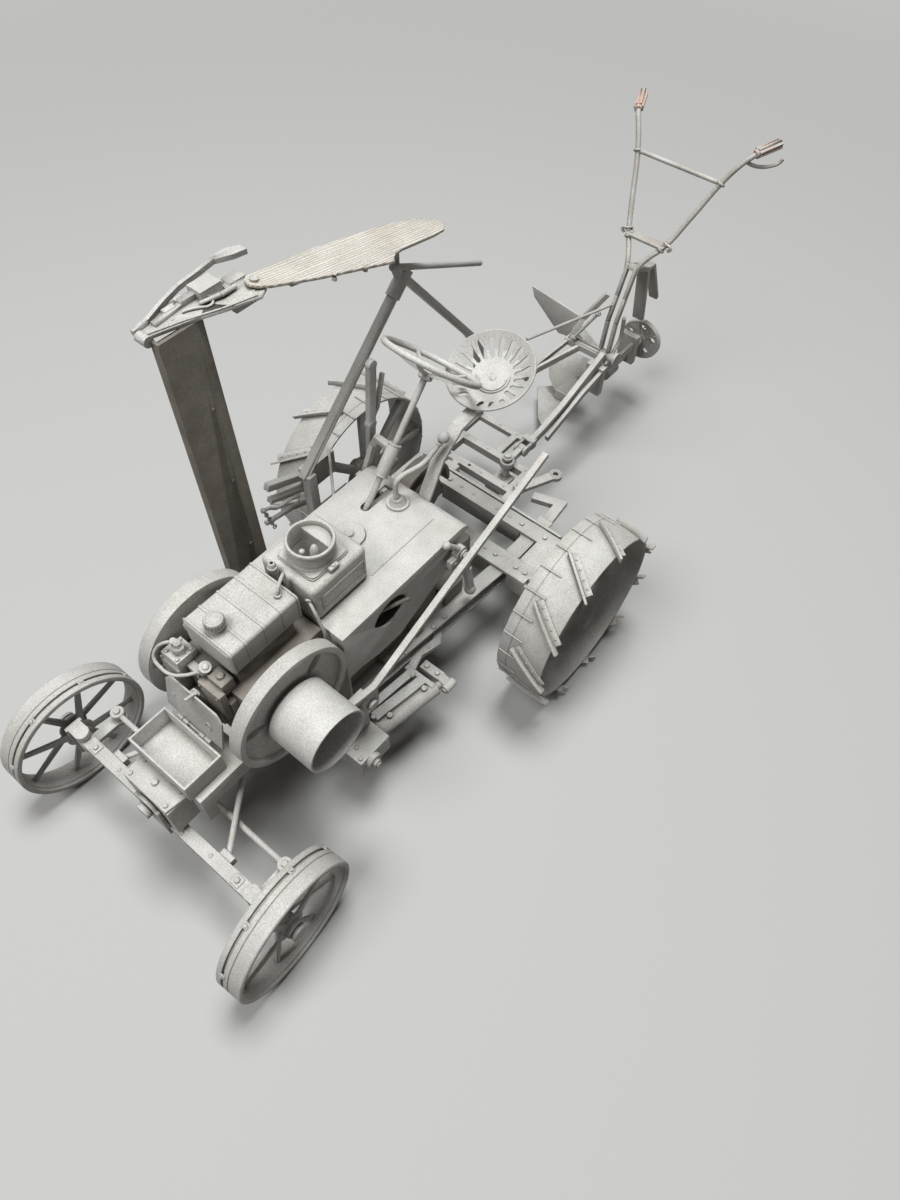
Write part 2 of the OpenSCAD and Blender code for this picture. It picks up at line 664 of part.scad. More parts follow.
// ---------------------------------------------------------------- rear wheels
module rear_wheel() translate([0, rear_inner_y, rear_z]) {
    rotate([-90, 0, 0]) rotate_extrude($fn=128)
        polygon([[rear_rim_r - 1.8, 0], [rear_rim_r, 0], [rear_rim_r, 6.2], [rear_rim_r - 0.6, 6.2],
                 [rear_rim_r - 0.6, 7], [rear_rim_r, 7], [rear_rim_r, rear_rim_w],
                 [rear_rim_r - 1.8, rear_rim_w]]);
    difference() {
        union() {
            rotate([-90, 0, 0]) translate([0, 0, -5]) cylinder(h=16, r=8);
            for (a = [0:45:359]) rotate([0, a, 0]) span([6, 1, -3], [rear_rim_r - 1, 4, 3]);
            rotate([-90, 0, 0]) translate([0, 0, 0.6]) cylinder(h=3.8, r=16);
        }
        rotate([-90, 0, 0]) translate([0, 0, -6]) cylinder(h=20, r=3 + slip);
    }
}

module rear_lugs() translate([0, 0, rear_z]) {
    lug_inner_y = 84;
    slant = 37;
    for (i = [0:lug_count - 1]) rotate([0, -15.4 + i * 360 / lug_count, 0]) intersection() {
        rotate([-90, 0, 0]) difference() {
            translate([0, 0, lug_inner_y]) cylinder(h=lug_outer_y - lug_inner_y, r=rear_lug_r, $fn=96);
            translate([0, 0, lug_inner_y - 1]) cylinder(h=lug_outer_y, r=rear_rim_r, $fn=96);
        }
        translate([rear_rim_r, lug_inner_y, 0]) rotate([-90 - slant, 0, 0]) translate([-8, -1.6, -3])
            cube([16, 3.2, 44]);
    }
    for (i = [0:rib_count - 1]) rotate([0, -6.8 - i * 360 / rib_count, 0])
        span([rear_rim_r, rear_inner_y, -0.5], [rear_rim_r + 0.9, lug_inner_y - 0.1, 0.5]);
}

module rear_wheel_left() color(metal) placed() rear_wheel();

module rear_wheel_right() color(metal) placed() mirror([0, 1, 0]) rear_wheel();

module rear_lugs_left() color(metal) placed() rear_lugs();

module rear_lugs_right() color(metal) placed() mirror([0, 1, 0]) rear_lugs();

// ---------------------------------------------------------------- mower
module mower_yoke() color(metal) placed() {
    span([84, -60, 40], [112, -57, 56]);
    span([94, -57, 50], [104, -27.2, 56]);
    span([90, -62, 14], [96.8, -57, 56]);
    along_x(mower_y + 3.6, mower_hinge_z, 92, 134, 2);
    span([56, -60, 46], [84, -57, 54]);
    span([56, -73, 46], [61, -57, 54]);
    span([55, -73, 54], [59, -68, 116]);
    span([36, -73, 99], [60, -67, 116]);
    flat([58, -70.5, 111], [86, -70.5, 123], 4, 4.4);
    flat([58, -70.5, 101], [86, -70.5, 112], 4, 3);
    rod([57, -70.5, 87], [72, -70.5, 93.4], 1.7);
    rod([71, -70.5, 93], [92, -70.5, 97], 1.6);
    rod([38, -69, 116], [66, -38, 108], 0.9);
    span([62, -40.6, 104], [72, -34.6, 112]);
}

module mower_bar() color(dark_metal) placed() {
    low = mower_hinge_z + 8;
    high = mower_top - 1;
    translate([0, mower_y, 0]) rotate([90, 0, 0]) linear_extrude(1.4)
        polygon([[mower_x[0], low], [mower_x[1], low], [mower_x[1], high], [mower_x[0] + 2.8, high]]);
    for (x = [mower_x[0] + 3, mower_x[1] - 1.4])
        span([x, mower_y - mower_t, low], [x + 1.4, mower_y - 1.4, high]);
    span([mower_x[0] + 5, mower_y - 4.4, low], [mower_x[1] - 2, mower_y - 2, high - 2]);
    span([mower_x[0] + 4.4, mower_y - mower_t, low], [mower_x[1] - 1.4, mower_y - 1.4, low + 6]);
    translate([0, mower_y + 0.5, 0]) rotate([90, 0, 0]) linear_extrude(0.5)
        polygon([[107.6, low], [mower_x[1], low], [mower_x[1], high], [106.4, high]]);
    difference() {
        union() {
            along_x(mower_y + 3.6, mower_hinge_z, mower_x[0], mower_x[1], 4);
            span([mower_x[0], mower_y - mower_t, mower_hinge_z - 4], [mower_x[1], mower_y + 3, low]);
        }
        along_x(mower_y + 3.6, mower_hinge_z, 90, 140, 2 + slip);
    }
    for (z = [100, 152, 201]) along_y(109, z, mower_y + 0.5, mower_y + 1.5, 1.2);
}

module mower_shoe() color(metal) placed() {
    translate([0, 0, mower_top - 1]) linear_extrude(1.6)
        polygon([[129, -76], [127, -70.5], [103, -64], [88, -58.4], [76, -55], [70.4, -58], [70.4, -78],
                 [87, -80], [112, -82.4], [121, -79]]);
    strut([[129, -76.5, 250], [121, -77.2, 250.6], [108, -82, 251], [97, -85.4, 251], [84, -87, 251],
               [72, -88.6, 251.4]], 2, 2.6);
    translate([0, 0, 250]) linear_extrude(2.6)
        polygon([[74, -90], [66, -90], [59, -87], [59, -82], [66, -83.4], [74, -87]]);
    span([92, -78, mower_top + 0.6], [104, -74.4, 252.4]);
    span([84, -80, mower_top + 0.6], [96, -71, 254]);
    flat([120, -74, 250.4], [103, -76, 250.4], 3, 1.6);
    bent_rod([[98, -70, 250.4], [88, -66.5, 251.6], [80, -67, 251]], 1.1);
    span([71, -77, mower_top + 0.6], [80, -70.4, 250.6]);
    span([74, -62, 245], [88, -59, mower_top - 1]);
    along_y(127.2, 248, -75.4, -69, 2.6);
    board_pose() translate([-3, -63, 0]) {
        translate([0, 0, -2]) cylinder(h=4.8, r=1.2);
        translate([0, 0, -2.2]) cylinder(h=2.1, r=2.2);
        translate([0, 0, 1.7]) cylinder(h=1.1, r=2);
    }
}

// Places the swath board: it hangs back and a little down from the shoe when the mower is raised.
module board_pose() translate([70, 0, mower_top + 0.7]) rotate([0, -10, 0]) mirror([1, 0, 0]) children();

module swath_board() color(metal) placed() board_pose() difference() {
    board_plate();
    translate([-3, -63, -1]) cylinder(h=4, r=1.2 + slip);
}

// Outline, rivets and lower rib of the swath board.
module board_plate() {
    linear_extrude(1.6) polygon([[-5, -59], [-7, -62.5], [-6, -66], [-3, -68.6], [3, -69.4], [43, -69.8],
                                 [80, -67], [104, -63], [113, -56], [115, -52], [110, -45.4], [100, -44.2],
                                 [76, -44], [68, -42.6], [62, -38], [23, -48], [0, -55.6]]);
    for (x = [30, 48]) translate([x, -50 + x * 0.14, 1.6]) cylinder(h=0.7, r=1.2);
    span([10, -56, -1.6], [58, -53, 0]);
}

module support_frame() color(metal) placed() {
    flat([66, -62, 120], [-22, -62, 203], 5, 4);
    rod([64, -59.6, 121], [-18, -59.6, 201], 0.9);
    rod([-15, -62, 196.4], [-27, -62, 207.8], 4.2);
    bent_flat([[-24, -62, 204.5], [-86, -62, 131], [-98, -62, 112], [-103, -62, 51]], 6, 4);
    span([60, -63, 54], [66, -57, 122]);
    rod([-14, -60.6, 215.6], [-92, -60.6, 179.4], 1.8);
    flat([-22, -62, 204], [-17, -61, 215], 4, 4);
    translate([-20, -62, 208.4]) cylinder(h=24.4, r=1.3);
}

// ---------------------------------------------------------------- plough
module plough_clevis() color(metal) placed() difference() {
    union() {
        translate([hitch_x, plough_y, 53]) cylinder(h=5, r=5);
        span([-90, plough_y - 2, 53], [hitch_x, plough_y + 2, 58]);
        along_y(-90, 55.5, plough_y - 2, plough_y + 2, 3.6);
    }
    translate([hitch_x, plough_y, 40]) cylinder(h=30, r=2.4 + slip);
    along_y(-90, 55.5, -20, 0, 1.6 + slip);
}

module plough_beam() color(metal) placed() {
    beam_y = plough_y + 1.5;
    bent_flat([[-96.4, beam_y, 56.2], [-112, beam_y, 58], [-136, beam_y, 63.5], [-184, beam_y, 80]], 4, 6);
    bent_flat([[-112, -7.4, 53], [-155, -7.4, 65.6], [-184, -7.4, 70.6], [-220, -7.4, 69]], 2.6, 5);
    for (y = [plough_y - 4.4, plough_y + 2.4]) {
        along_y(-90, 55.5, y, y + 2, 3.8);
        span([-100.6, y, 53], [-90, y + 2, 58.6]);
    }
    span([-101.3, plough_y - 4.7, 52.6], [-96.4, plough_y + 4.7, 59.4]);
    along_y(-90, 55.5, plough_y - 4.2, plough_y + 4.2, 1.6);
    for (x = [-228, -181]) difference() {
        span([x, plough_y - 6, 50], [x + 5, plough_y + 8, 74]);
        along_x(plough_y, turn_z, x - 1, x + 6, 3 + slip);
    }
    span([-192.4, -46, 73], [-184.6, -6, 77.4]);
    for (x = [-191, -187.4]) span([x, -44, 77.4], [x + 1.6, -9, 78.6]);
    strut([[-140, -49, 66], [-152, -46.6, 68.4], [-170, -40, 71.4], [-190, -32, 75.4]], 2.4, 5);
    strut([[-150, -49, 69.6], [-187, -43.6, 75.4]], 2.4, 3.6);
    strut([[-187, -44, 74], [-190, -36, 97], [-200, -26, 116]], 2.4, 3.6);
    along_y(-188, 78, -16, -4, 3.6);
    along_y(-188, 78, -4, -2.4, 5);
}

// Lower turning body: a leg, a share and a mouldboard that hang beneath the shaft.
module plough_lower() {
    flat([-200, -1, -2], [-200, -22, -21], 4, 6);
    translate([-191, 0, -34.7]) rotate([0, -125.3, 0]) linear_extrude(1.5)
        polygon([[0, -38], [6, -46], [14, -50.6], [20, -52], [27, -49], [32, -40], [33, -19], [16, -12], [-4, -16]]);
    translate([0, 0, -44]) linear_extrude(2)
        polygon([[-158, -26], [-162, -32], [-192, -54], [-206, -40], [-196, -24]]);
    span([-196, -36, -44], [-190, -26, -34]);
}

// Side turning body: an upright share plate and its arm.
module plough_side() {
    translate([-199, 0, 0]) rotate([90, 0, 90]) linear_extrude(1.6)
        polygon([[-74, 40], [-71, 32], [-46, 12], [-28, 14], [-28, 31], [-32, 35]]);
    strut([[-201, -3, 3], [-201, -20, 14], [-201, -34, 22]], 8, 3);
}

module turning() translate([0, plough_y, turn_z]) children();

module plough_bodies() color(metal) placed() turning() {
    along_x(0, 0, -252, -176, 3);
    along_x(0, 0, -207, -194, 5.6);
    plough_lower();
    plough_side();
}

module index_disc() color(metal) placed() turning() difference() {
    union() {
        along_x(0, 0, -250, -247, disc_r);
        along_x(0, 0, -251, -246, 5);
    }
    along_x(0, 0, -260, -240, 3);
    for (a = [0:72:359]) rotate([a, 0, 0]) along_x(0, 10.4, -260, -240, 2.4);
}

module plough_handles() color(metal) placed() translate([0, plough_y, 0]) {
    both() bent_flat([[-188, 3.2, 82], [-190, 3.2, 105], [-196, 3.2, 122], [-203, 3.2, 143]], 2.4, 4.4);
    both() bent_rod([[-202, 3.6, 138], [-203.4, 4.4, 143.6], [-214.6, 13.6, 155.5], [-238, 30.7, 196],
                     [-248, 40.5, 212], [-256, 45, 214.6]], 1.8);
    both() rod([-254, 44, 214.4], [handle_end_x, 49.7, 216], 2.5);
    flat([-214.6, -14, 156], [-214.6, 14, 156], 7, 2);
    rod([-238, -30.7, 196], [-238, 30.7, 196], 1.5);
    bent_rod([[-250, 41, 211], [-256, 46, 207], [-263, 50, 206], [-266.6, 52, 209]], 1.2);
    flat([-201, 0, 142], [-223, 0, 131.4], 9, 3.4);
    flat([-222, 0, 133.4], [-233, 0, 84], 8.6, 3.4);
    flat([-232, 0, 130], [-252, 0, 92], 7, 3);
    flat([-221, 0, 130.6], [-233, 0, 129], 7, 3);
    bent_rod([[-183, 5.2, 74], [-199, 5.2, 86], [-197.4, 5.2, 106]], 1.5);
    rod([-106, -16.5, 131], [-194.6, -3.4, 115.4], 1.1);
}

// ---------------------------------------------------------------- fasteners
module frame_bolts() color(metal) placed() {
    both() for (p = [[0.6, 32], [0.6, 48], [0.6, 55], [-30.5, 30], [-30.5, 48]])
        translate([p.x, p.y, p.x > 0 ? 62.5 : 62]) cylinder(h=1.2, r=1.5);
    both() for (x = [56, 66, 90]) translate([x, 36.6 - (x - 56) * 0.05, rail_top]) cylinder(h=1.6, r=1.6, $fn=6);
}

frame_rails();
front_bolster();
rear_axle();
rear_crossbeam();
hitch_frame();
toolbox();
toolbox_lid();
engine_block();
fuel_tank();
tank_cap();
hopper();
filler_ring();
hopper_baffle();
injection_pump();
injector();
fuel_pipe();
valve_box();
drain_pipe();
whistle();
crankshaft();
flywheel_left();
flywheel_right();
belt_pulley();
gear_cover();
gearbox();
steering_tube();
steering_shaft();
steering_wheel();
gear_lever();
brake_quadrant();
brake_lever();
rock_arm();
hand_lever();
seat_spring();
seat();
side_gearbox();
shaft_housing();
crank_arm();
axle_bar();
stay_rods();
knuckle_left();
knuckle_right();
front_wheel_left();
front_wheel_right();
tie_rod();
rear_wheel_left();
rear_wheel_right();
rear_lugs_left();
rear_lugs_right();
mower_yoke();
mower_bar();
mower_shoe();
swath_board();
support_frame();
plough_clevis();
plough_beam();
plough_bodies();
index_disc();
plough_handles();
frame_bolts();
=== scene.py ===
import bpy
import bmesh
import json
from math import acos, asin, atan2, cos, pi, radians, sin, sqrt, tau
from mathutils import Matrix, Vector

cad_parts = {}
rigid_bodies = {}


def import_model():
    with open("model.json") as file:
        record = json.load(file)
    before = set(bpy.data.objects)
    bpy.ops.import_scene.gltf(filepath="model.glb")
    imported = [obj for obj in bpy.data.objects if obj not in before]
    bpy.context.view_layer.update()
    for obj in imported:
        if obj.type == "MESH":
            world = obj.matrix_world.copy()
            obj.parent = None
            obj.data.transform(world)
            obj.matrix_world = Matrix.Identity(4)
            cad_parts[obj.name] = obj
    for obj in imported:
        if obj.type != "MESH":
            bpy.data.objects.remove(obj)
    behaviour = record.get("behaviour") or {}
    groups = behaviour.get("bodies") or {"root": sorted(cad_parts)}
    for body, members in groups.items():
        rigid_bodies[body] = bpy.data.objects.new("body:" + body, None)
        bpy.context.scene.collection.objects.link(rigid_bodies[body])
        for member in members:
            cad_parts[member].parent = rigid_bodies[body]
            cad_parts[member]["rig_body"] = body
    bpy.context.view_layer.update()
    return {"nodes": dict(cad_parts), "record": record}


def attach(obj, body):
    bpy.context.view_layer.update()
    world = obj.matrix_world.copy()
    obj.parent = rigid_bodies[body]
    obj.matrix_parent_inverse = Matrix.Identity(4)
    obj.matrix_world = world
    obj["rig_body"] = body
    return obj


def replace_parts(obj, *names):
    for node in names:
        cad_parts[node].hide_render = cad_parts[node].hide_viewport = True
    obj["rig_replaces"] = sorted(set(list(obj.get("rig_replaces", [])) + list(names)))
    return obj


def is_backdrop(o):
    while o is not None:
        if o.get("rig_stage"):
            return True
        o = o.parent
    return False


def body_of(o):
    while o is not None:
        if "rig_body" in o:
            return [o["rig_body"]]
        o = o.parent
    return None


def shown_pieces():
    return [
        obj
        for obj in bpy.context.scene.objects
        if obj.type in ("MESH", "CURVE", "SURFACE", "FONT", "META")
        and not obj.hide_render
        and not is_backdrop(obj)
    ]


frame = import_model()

for name in ("Cube", "Light", "Camera"):
    if name in bpy.data.objects:
        bpy.data.objects.remove(bpy.data.objects[name])
nodes = frame["nodes"]
scene = bpy.context.scene
scene.view_settings.view_transform = "Standard"
bodyOf = {o: body_of(nodes[o])[0] for o in nodes}
slotOf = {s["node"]: s["material_slot"] for s in frame["record"]["subparts"]}

# places are in mm: x forwards from the rear axle, y to the driver's left, z up from the ground
mm = 0.001
shift = 5.2  # how far behind the origin the rear axle sits


def spot(x, y, z):
    return Vector((x - shift, y, z)) * mm


def moved(x, y, z):
    return Matrix.Translation(spot(x, y, z))


def slid(x, y, z):
    return Matrix.Translation((x * mm, y * mm, z * mm))


def spin(degrees, axis="Z"):
    return Matrix.Rotation(radians(degrees), 4, axis)


# one of a number of equal steps round a circle
def turned(step, count):
    return Matrix.Rotation(tau * step / count, 4, "Z")


# camera, floor and light; the lamps' places and the floor are in metres
camera = {
    "eye": (271.716, 204.259, 476.282),
    "right": (-0.631999, 0.774635, 0.022769),
    "up": (-0.630904, -0.531351, 0.565355),
    "back": (0.450042, 0.342939, 0.824533),
    "lens": 24.96, "sensor": 36, "near": 0.01, "far": 30,
}
lamps = [
    ("keyLamp", (-0.3, -0.05, 2.40), 0.9, 51.0, (0.985, 1, 1)),
    ("topLamp", (1.1, -0.15, 1.9), 1.0, 26.0, (1, 1, 1)),
    ("fillLamp", (1.1, 0.9, 0.7), 1.2, 0.3, (1, 1, 1)),
]
studio = {
    "aim": (0, 0, 0.1), "skyColour": (1, 0.95, 0.88, 1), "sky": 0.062,
    "wallSeen": (0.66, 0.655, 0.645, 1),
    "floorSeen": (0.46, 0.457, 0.447, 1), "floorBounce": (0.10, 0.096, 0.09, 1),
    "floorHalf": 4.0, "floorDrop": 0.0004, "fadeFrom": 0.5, "fadeTo": 1.9,
}


def addNode(tree, kind, values=(), **settings):
    node = tree.nodes.new("ShaderNode" + kind)
    for key, value in settings.items():
        setattr(node, key, value)
    for key, value in dict(values).items():
        if isinstance(value, bpy.types.NodeSocket):
            tree.links.new(value, node.inputs[key])
        else:
            node.inputs[key].default_value = value
    return node


# one shader for rays that bounce between surfaces, another for what the viewer sees
def bySight(tree, bounced, seen):
    path = addNode(tree, "LightPath")
    sight = path.outputs["Is Camera Ray"]
    for kind in ("Is Glossy Ray", "Is Transmission Ray"):
        both = addNode(tree, "Math", {0: sight, 1: path.outputs[kind]}, operation="ADD", use_clamp=True)
        sight = both.outputs[0]
    return addNode(tree, "MixShader", {0: sight, 1: bounced.outputs[0], 2: seen.outputs[0]}).outputs[0]


def addCamera():
    data = bpy.data.cameras.new("viewCamera")
    data.lens = camera["lens"]
    data.sensor_width = camera["sensor"]
    data.clip_start = camera["near"]
    data.clip_end = camera["far"]
    cam = bpy.data.objects.new("viewCamera", data)
    turn = Matrix((camera["right"], camera["up"], camera["back"])).transposed()
    cam.matrix_world = moved(*camera["eye"]) @ turn.to_4x4()
    scene.collection.objects.link(cam)
    scene.camera = cam


def addLamp(name, place, size, power, colour):
    data = bpy.data.lights.new(name, "AREA")
    data.shape = "DISK"
    data.size = size
    data.energy = power
    data.color = colour
    lamp = bpy.data.objects.new(name, data)
    lamp.location = place
    lamp.rotation_euler = (Vector(studio["aim"]) - Vector(place)).to_track_quat("-Z", "Y").to_euler()
    scene.collection.objects.link(lamp)


def addSky():
    world = bpy.data.worlds.new("softSky")
    world.use_nodes = True
    scene.world = world
    tree = world.node_tree
    sky = tree.nodes["Background"]
    sky.inputs["Color"].default_value = studio["skyColour"]
    sky.inputs["Strength"].default_value = studio["sky"]
    wall = addNode(tree, "Background", {"Color": studio["wallSeen"], "Strength": 1})
    tree.links.new(bySight(tree, sky, wall), tree.nodes["World Output"].inputs["Surface"])


def addFloor():
    bm = bmesh.new()
    bmesh.ops.create_grid(bm, x_segments=2, y_segments=2, size=studio["floorHalf"])
    mesh = bpy.data.meshes.new("floor")
    bm.to_mesh(mesh)
    bm.free()
    floor = bpy.data.objects.new("floor", mesh)
    floor.location.z = -studio["floorDrop"]
    scene.collection.objects.link(floor)
    floor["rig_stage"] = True
    material = bpy.data.materials.new("paleFloor")
    material.use_nodes = True
    tree = material.node_tree
    tree.nodes.clear()
    bounced = addNode(tree, "BsdfDiffuse", {"Color": studio["floorBounce"]})
    near = addNode(tree, "BsdfDiffuse", {"Color": studio["floorSeen"]})
    far = addNode(tree, "Emission", {"Color": studio["wallSeen"], "Strength": 1})
    place = addNode(tree, "TexCoord").outputs["Object"]
    reach = addNode(tree, "VectorMath", {0: place}, operation="LENGTH").outputs["Value"]
    limits = {"Value": reach, "From Min": studio["fadeFrom"], "From Max": studio["fadeTo"]}
    fade = addNode(tree, "MapRange", limits, interpolation_type="SMOOTHSTEP").outputs["Result"]
    seen = addNode(tree, "MixShader", {0: fade, 1: near.outputs[0], 2: far.outputs[0]})
    addNode(tree, "OutputMaterial", {"Surface": bySight(tree, bounced, seen)})
    mesh.materials.append(material)


addCamera()
for lamp in lamps:
    addLamp(*lamp)
addSky()
addFloor()
print("camera, floor and light ready")

# finishes
finishes = {
    "grey_metal": {"base": (0.56, 0.553, 0.535), "dark": (0.46, 0.452, 0.43), "rough": 0.66, "grain": 0.6},
    "light_metal": {"base": (0.60, 0.594, 0.576), "dark": (0.525, 0.517, 0.495), "rough": 0.64, "grain": 0.5},
    "dark_metal": {"base": (0.34, 0.32, 0.285), "dark": (0.21, 0.19, 0.165), "rough": 0.64, "grain": 0.6},
    # a dark finish that paints shade onto parts and strips where shade falls
    "shade_metal": {"base": (0.21, 0.19, 0.165), "dark": (0.13, 0.115, 0.095), "rough": 0.6, "grain": 0.6},
    "board_metal": {"base": (0.70, 0.675, 0.63), "dark": (0.55, 0.52, 0.475), "rough": 0.62, "grain": 0.4},
    "handle_metal": {"base": (0.54, 0.525, 0.495), "dark": (0.39, 0.37, 0.34), "rough": 0.58, "grain": 0.4},
}
white = (1, 1, 1)
# each noise is its scale, detail and roughness; each ramp its two positions and two colours
surface = {
    "cloud": (55, 5, 0.6), "speck": (1500, 3, 0.7), "stain": (24, 6, 0.7), "patch": (140, 3, 0.6),
    "wave": (420, 3, 0.6),
    "sand": (0.34, 0.64, (0.70, 0.69, 0.67), (1.11, 1.11, 1.11)),
    "brown": (0.50, 0.78, white, (0.86, 0.78, 0.66)), "brownPart": 0.45,
    # painted shade in creases, from ambient occlusion: its ramp, how much of it is mixed in, and how far it
    # reaches
    "grime": (0.30, 0.92, (0.30, 0.285, 0.26), white), "grimePart": 0.9, "grimeReach": 4.0,
    "metallic": 0.1, "softEdge": 0.35, "pitDepth": 0.12, "waveDepth": 0.5, "waveStrength": 0.25,
    "tintPart": 0.75,
}
wood = {
    "turn": (0, radians(10), radians(-3)), "stretch": (0.10, 1, 0.2),
    "wave": {"Scale": 190, "Distortion": 5.0, "Detail": 3, "Detail Scale": 1.2},
    "groove": 0.75, "grooveDepth": 0.35, "shade": (0.15, 0.5, (0.68, 0.65, 0.60), white),
}


def noise(tree, place, kind):
    scale, detail, rough = surface[kind]
    values = {"Vector": place, "Scale": scale, "Detail": detail, "Roughness": rough}
    return addNode(tree, "TexNoise", values).outputs["Fac"]


def ramp(tree, source, low, high, first, last):
    node = addNode(tree, "ValToRGB", {"Fac": source})
    for element, position, colour in zip(node.color_ramp.elements, (low, high), (first, last)):
        element.position = position
        element.color = (*colour, 1)
    return node.outputs["Color"]


def mixed(tree, kind, part, a, b):
    values = {"Factor": part, "A": a, "B": b}
    return addNode(tree, "Mix", values, data_type="RGBA", blend_type=kind).outputs["Result"]


def bump(tree, height, strength, depth, normal):
    values = {"Height": height, "Strength": strength, "Distance": depth * mm, "Normal": normal}
    return addNode(tree, "Bump", values).outputs["Normal"]


def blastedMetal(name, values, tint=None):
    material = bpy.data.materials.new(name)
    material.use_nodes = True
    tree = material.node_tree
    shader = tree.nodes["Principled BSDF"]
    place = addNode(tree, "TexCoord").outputs["Object"]
    cloud = noise(tree, place, "cloud")
    speck = noise(tree, place, "speck")
    colour = ramp(tree, cloud, 0.28, 0.66, values["dark"], values["base"])
    colour = mixed(tree, "MULTIPLY", 1.0, colour, ramp(tree, speck, *surface["sand"]))
    brown = ramp(tree, noise(tree, place, "stain"), *surface["brown"])
    colour = mixed(tree, "MULTIPLY", surface["brownPart"], colour, brown)
    if tint:
        warm = ramp(tree, noise(tree, place, "patch"), 0.35, 0.6, values["base"], tint)
        colour = mixed(tree, "MIX", surface["tintPart"], colour, warm)
    # painted shade: ambient occlusion darkens the colour in creases, corners and between parts, where shade
    # falls
    corner = addNode(tree, "AmbientOcclusion", {"Distance": surface["grimeReach"] * mm}, samples=5)
    grime = ramp(tree, corner.outputs["AO"], *surface["grime"])
    colour = mixed(tree, "MULTIPLY", surface["grimePart"], colour, grime)
    tree.links.new(colour, shader.inputs["Base Color"])
    shine = ramp(tree, cloud, 0.3, 0.7, (values["rough"] + 0.10,) * 3, (values["rough"] - 0.06,) * 3)
    tree.links.new(shine, shader.inputs["Roughness"])
    shader.inputs["Metallic"].default_value = surface["metallic"]
    soft = addNode(tree, "Bevel", {"Radius": surface["softEdge"] * mm}, samples=3).outputs["Normal"]
    pit = bump(tree, speck, values["grain"] * 0.5, surface["pitDepth"], soft)
    wave = bump(tree, noise(tree, place, "wave"), surface["waveStrength"], surface["waveDepth"], pit)
    tree.links.new(wave, shader.inputs["Normal"])
    return material


def woodGrainMetal(name, values):
    material = blastedMetal(name, values)
    tree = material.node_tree
    base, normal = (tree.nodes["Principled BSDF"].inputs[i] for i in ("Base Color", "Normal"))
    place = addNode(tree, "TexCoord").outputs["Object"]
    lie = {"Vector": place, "Rotation": wood["turn"], "Scale": wood["stretch"]}
    grain = {"Vector": addNode(tree, "Mapping", lie).outputs["Vector"], **wood["wave"]}
    wave = addNode(tree, "TexWave", grain, wave_type="BANDS", bands_direction="Y").outputs["Fac"]
    groove = bump(tree, wave, wood["groove"], wood["grooveDepth"], normal.links[0].from_socket)
    tree.links.new(groove, normal)
    shade = ramp(tree, wave, *wood["shade"])
    tree.links.new(mixed(tree, "MULTIPLY", 1.0, base.links[0].from_socket, shade), base)
    return material


metals = {name: blastedMetal(name, values) for name, values in finishes.items()}
print("finishes ready")


# making pieces
def finishPiece(name, bm, node, angle=32, finish=None, standsFor=True):
    bmesh.ops.remove_doubles(bm, verts=bm.verts, dist=2e-6)
    bmesh.ops.recalc_face_normals(bm, faces=bm.faces)
    mesh = bpy.data.meshes.new(name)
    for face in bm.faces:
        face.smooth = True
    bm.to_mesh(mesh)
    bm.free()
    mesh.set_sharp_from_angle(angle=radians(angle))
    mesh.materials.append(metals[finish or slotOf[node]])
    piece = bpy.data.objects.new(name, mesh)
    scene.collection.objects.link(piece)
    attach(piece, bodyOf[node])
    if standsFor:
        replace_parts(piece, node)
    return piece


def roundEdges(bm, width, angle=30, segments=2, edges=None):
    sharp = [e for e in (edges or bm.edges)
             if len(e.link_faces) == 2 and e.calc_face_angle(0) > radians(angle)]
    bmesh.ops.bevel(bm, geom=sharp, offset=width * mm, offset_type="OFFSET", affect="EDGES",
                    segments=segments, profile=0.5, material=-1, clamp_overlap=True)


def edgesOf(verts):
    return list({e for v in verts for e in v.link_edges})


def soften(bm, verts, width, angle=30, segments=2):
    roundEdges(bm, width, angle, segments, edgesOf(verts))


def castingFrom(node):
    bm = bmesh.new()
    bm.from_mesh(nodes[node].data)
    bmesh.ops.remove_doubles(bm, verts=bm.verts, dist=2e-6)
    bmesh.ops.dissolve_limit(bm, angle_limit=radians(0.6), verts=bm.verts, edges=bm.edges)
    return bm


def put(bm, verts, matrix):
    bmesh.ops.transform(bm, matrix=matrix, verts=verts)
    return verts


def standAt(x, y, z, axis=(0, 0, 1), turn=0):
    aim = Vector(axis).normalized().to_track_quat("Z", "Y").to_matrix().to_4x4()
    return moved(x, y, z) @ aim @ spin(turn)


def addBox(bm, low, high, matrix=None):
    low, high = Vector(low) * mm, Vector(high) * mm
    size = Matrix.Diagonal((*(high - low), 1))
    made = bmesh.ops.create_cube(bm, size=1, matrix=Matrix.Translation((low + high) / 2) @ size)["verts"]
    return put(bm, made, matrix or moved(0, 0, 0))


def addBlock(bm, low, high, edge, matrix=None):
    soften(bm, addBox(bm, low, high, matrix), edge)


# a flat strip along x in a mesh of its own, cut across so that it can bend
def makeStrip(low, high, cuts):
    part = bmesh.new()
    addBox(part, low, high, Matrix.Identity(4))
    reach = (high[0] - low[0]) * mm * 0.9
    long = [e for e in part.edges if abs(e.verts[0].co.x - e.verts[1].co.x) > reach]
    bmesh.ops.subdivide_edges(part, edges=long, cuts=cuts)
    return part


def joinTo(bm, part):
    mesh = bpy.data.meshes.new("part")
    part.to_mesh(mesh)
    part.free()
    bm.from_mesh(mesh)
    bpy.data.meshes.remove(mesh)


def addBar(bm, start, end, wide, thick, edge=0.45, across=(0, 1, 0)):
    a, b = Vector(start), Vector(end)
    along = (b - a).normalized()
    side = (Vector(across) - along * along.dot(Vector(across))).normalized()
    turn = Matrix((along.cross(side), -side, along)).transposed().to_4x4()
    high = (thick / 2, wide / 2, (b - a).length)
    addBlock(bm, (-thick / 2, -wide / 2, 0), high, edge, moved(*start) @ turn)


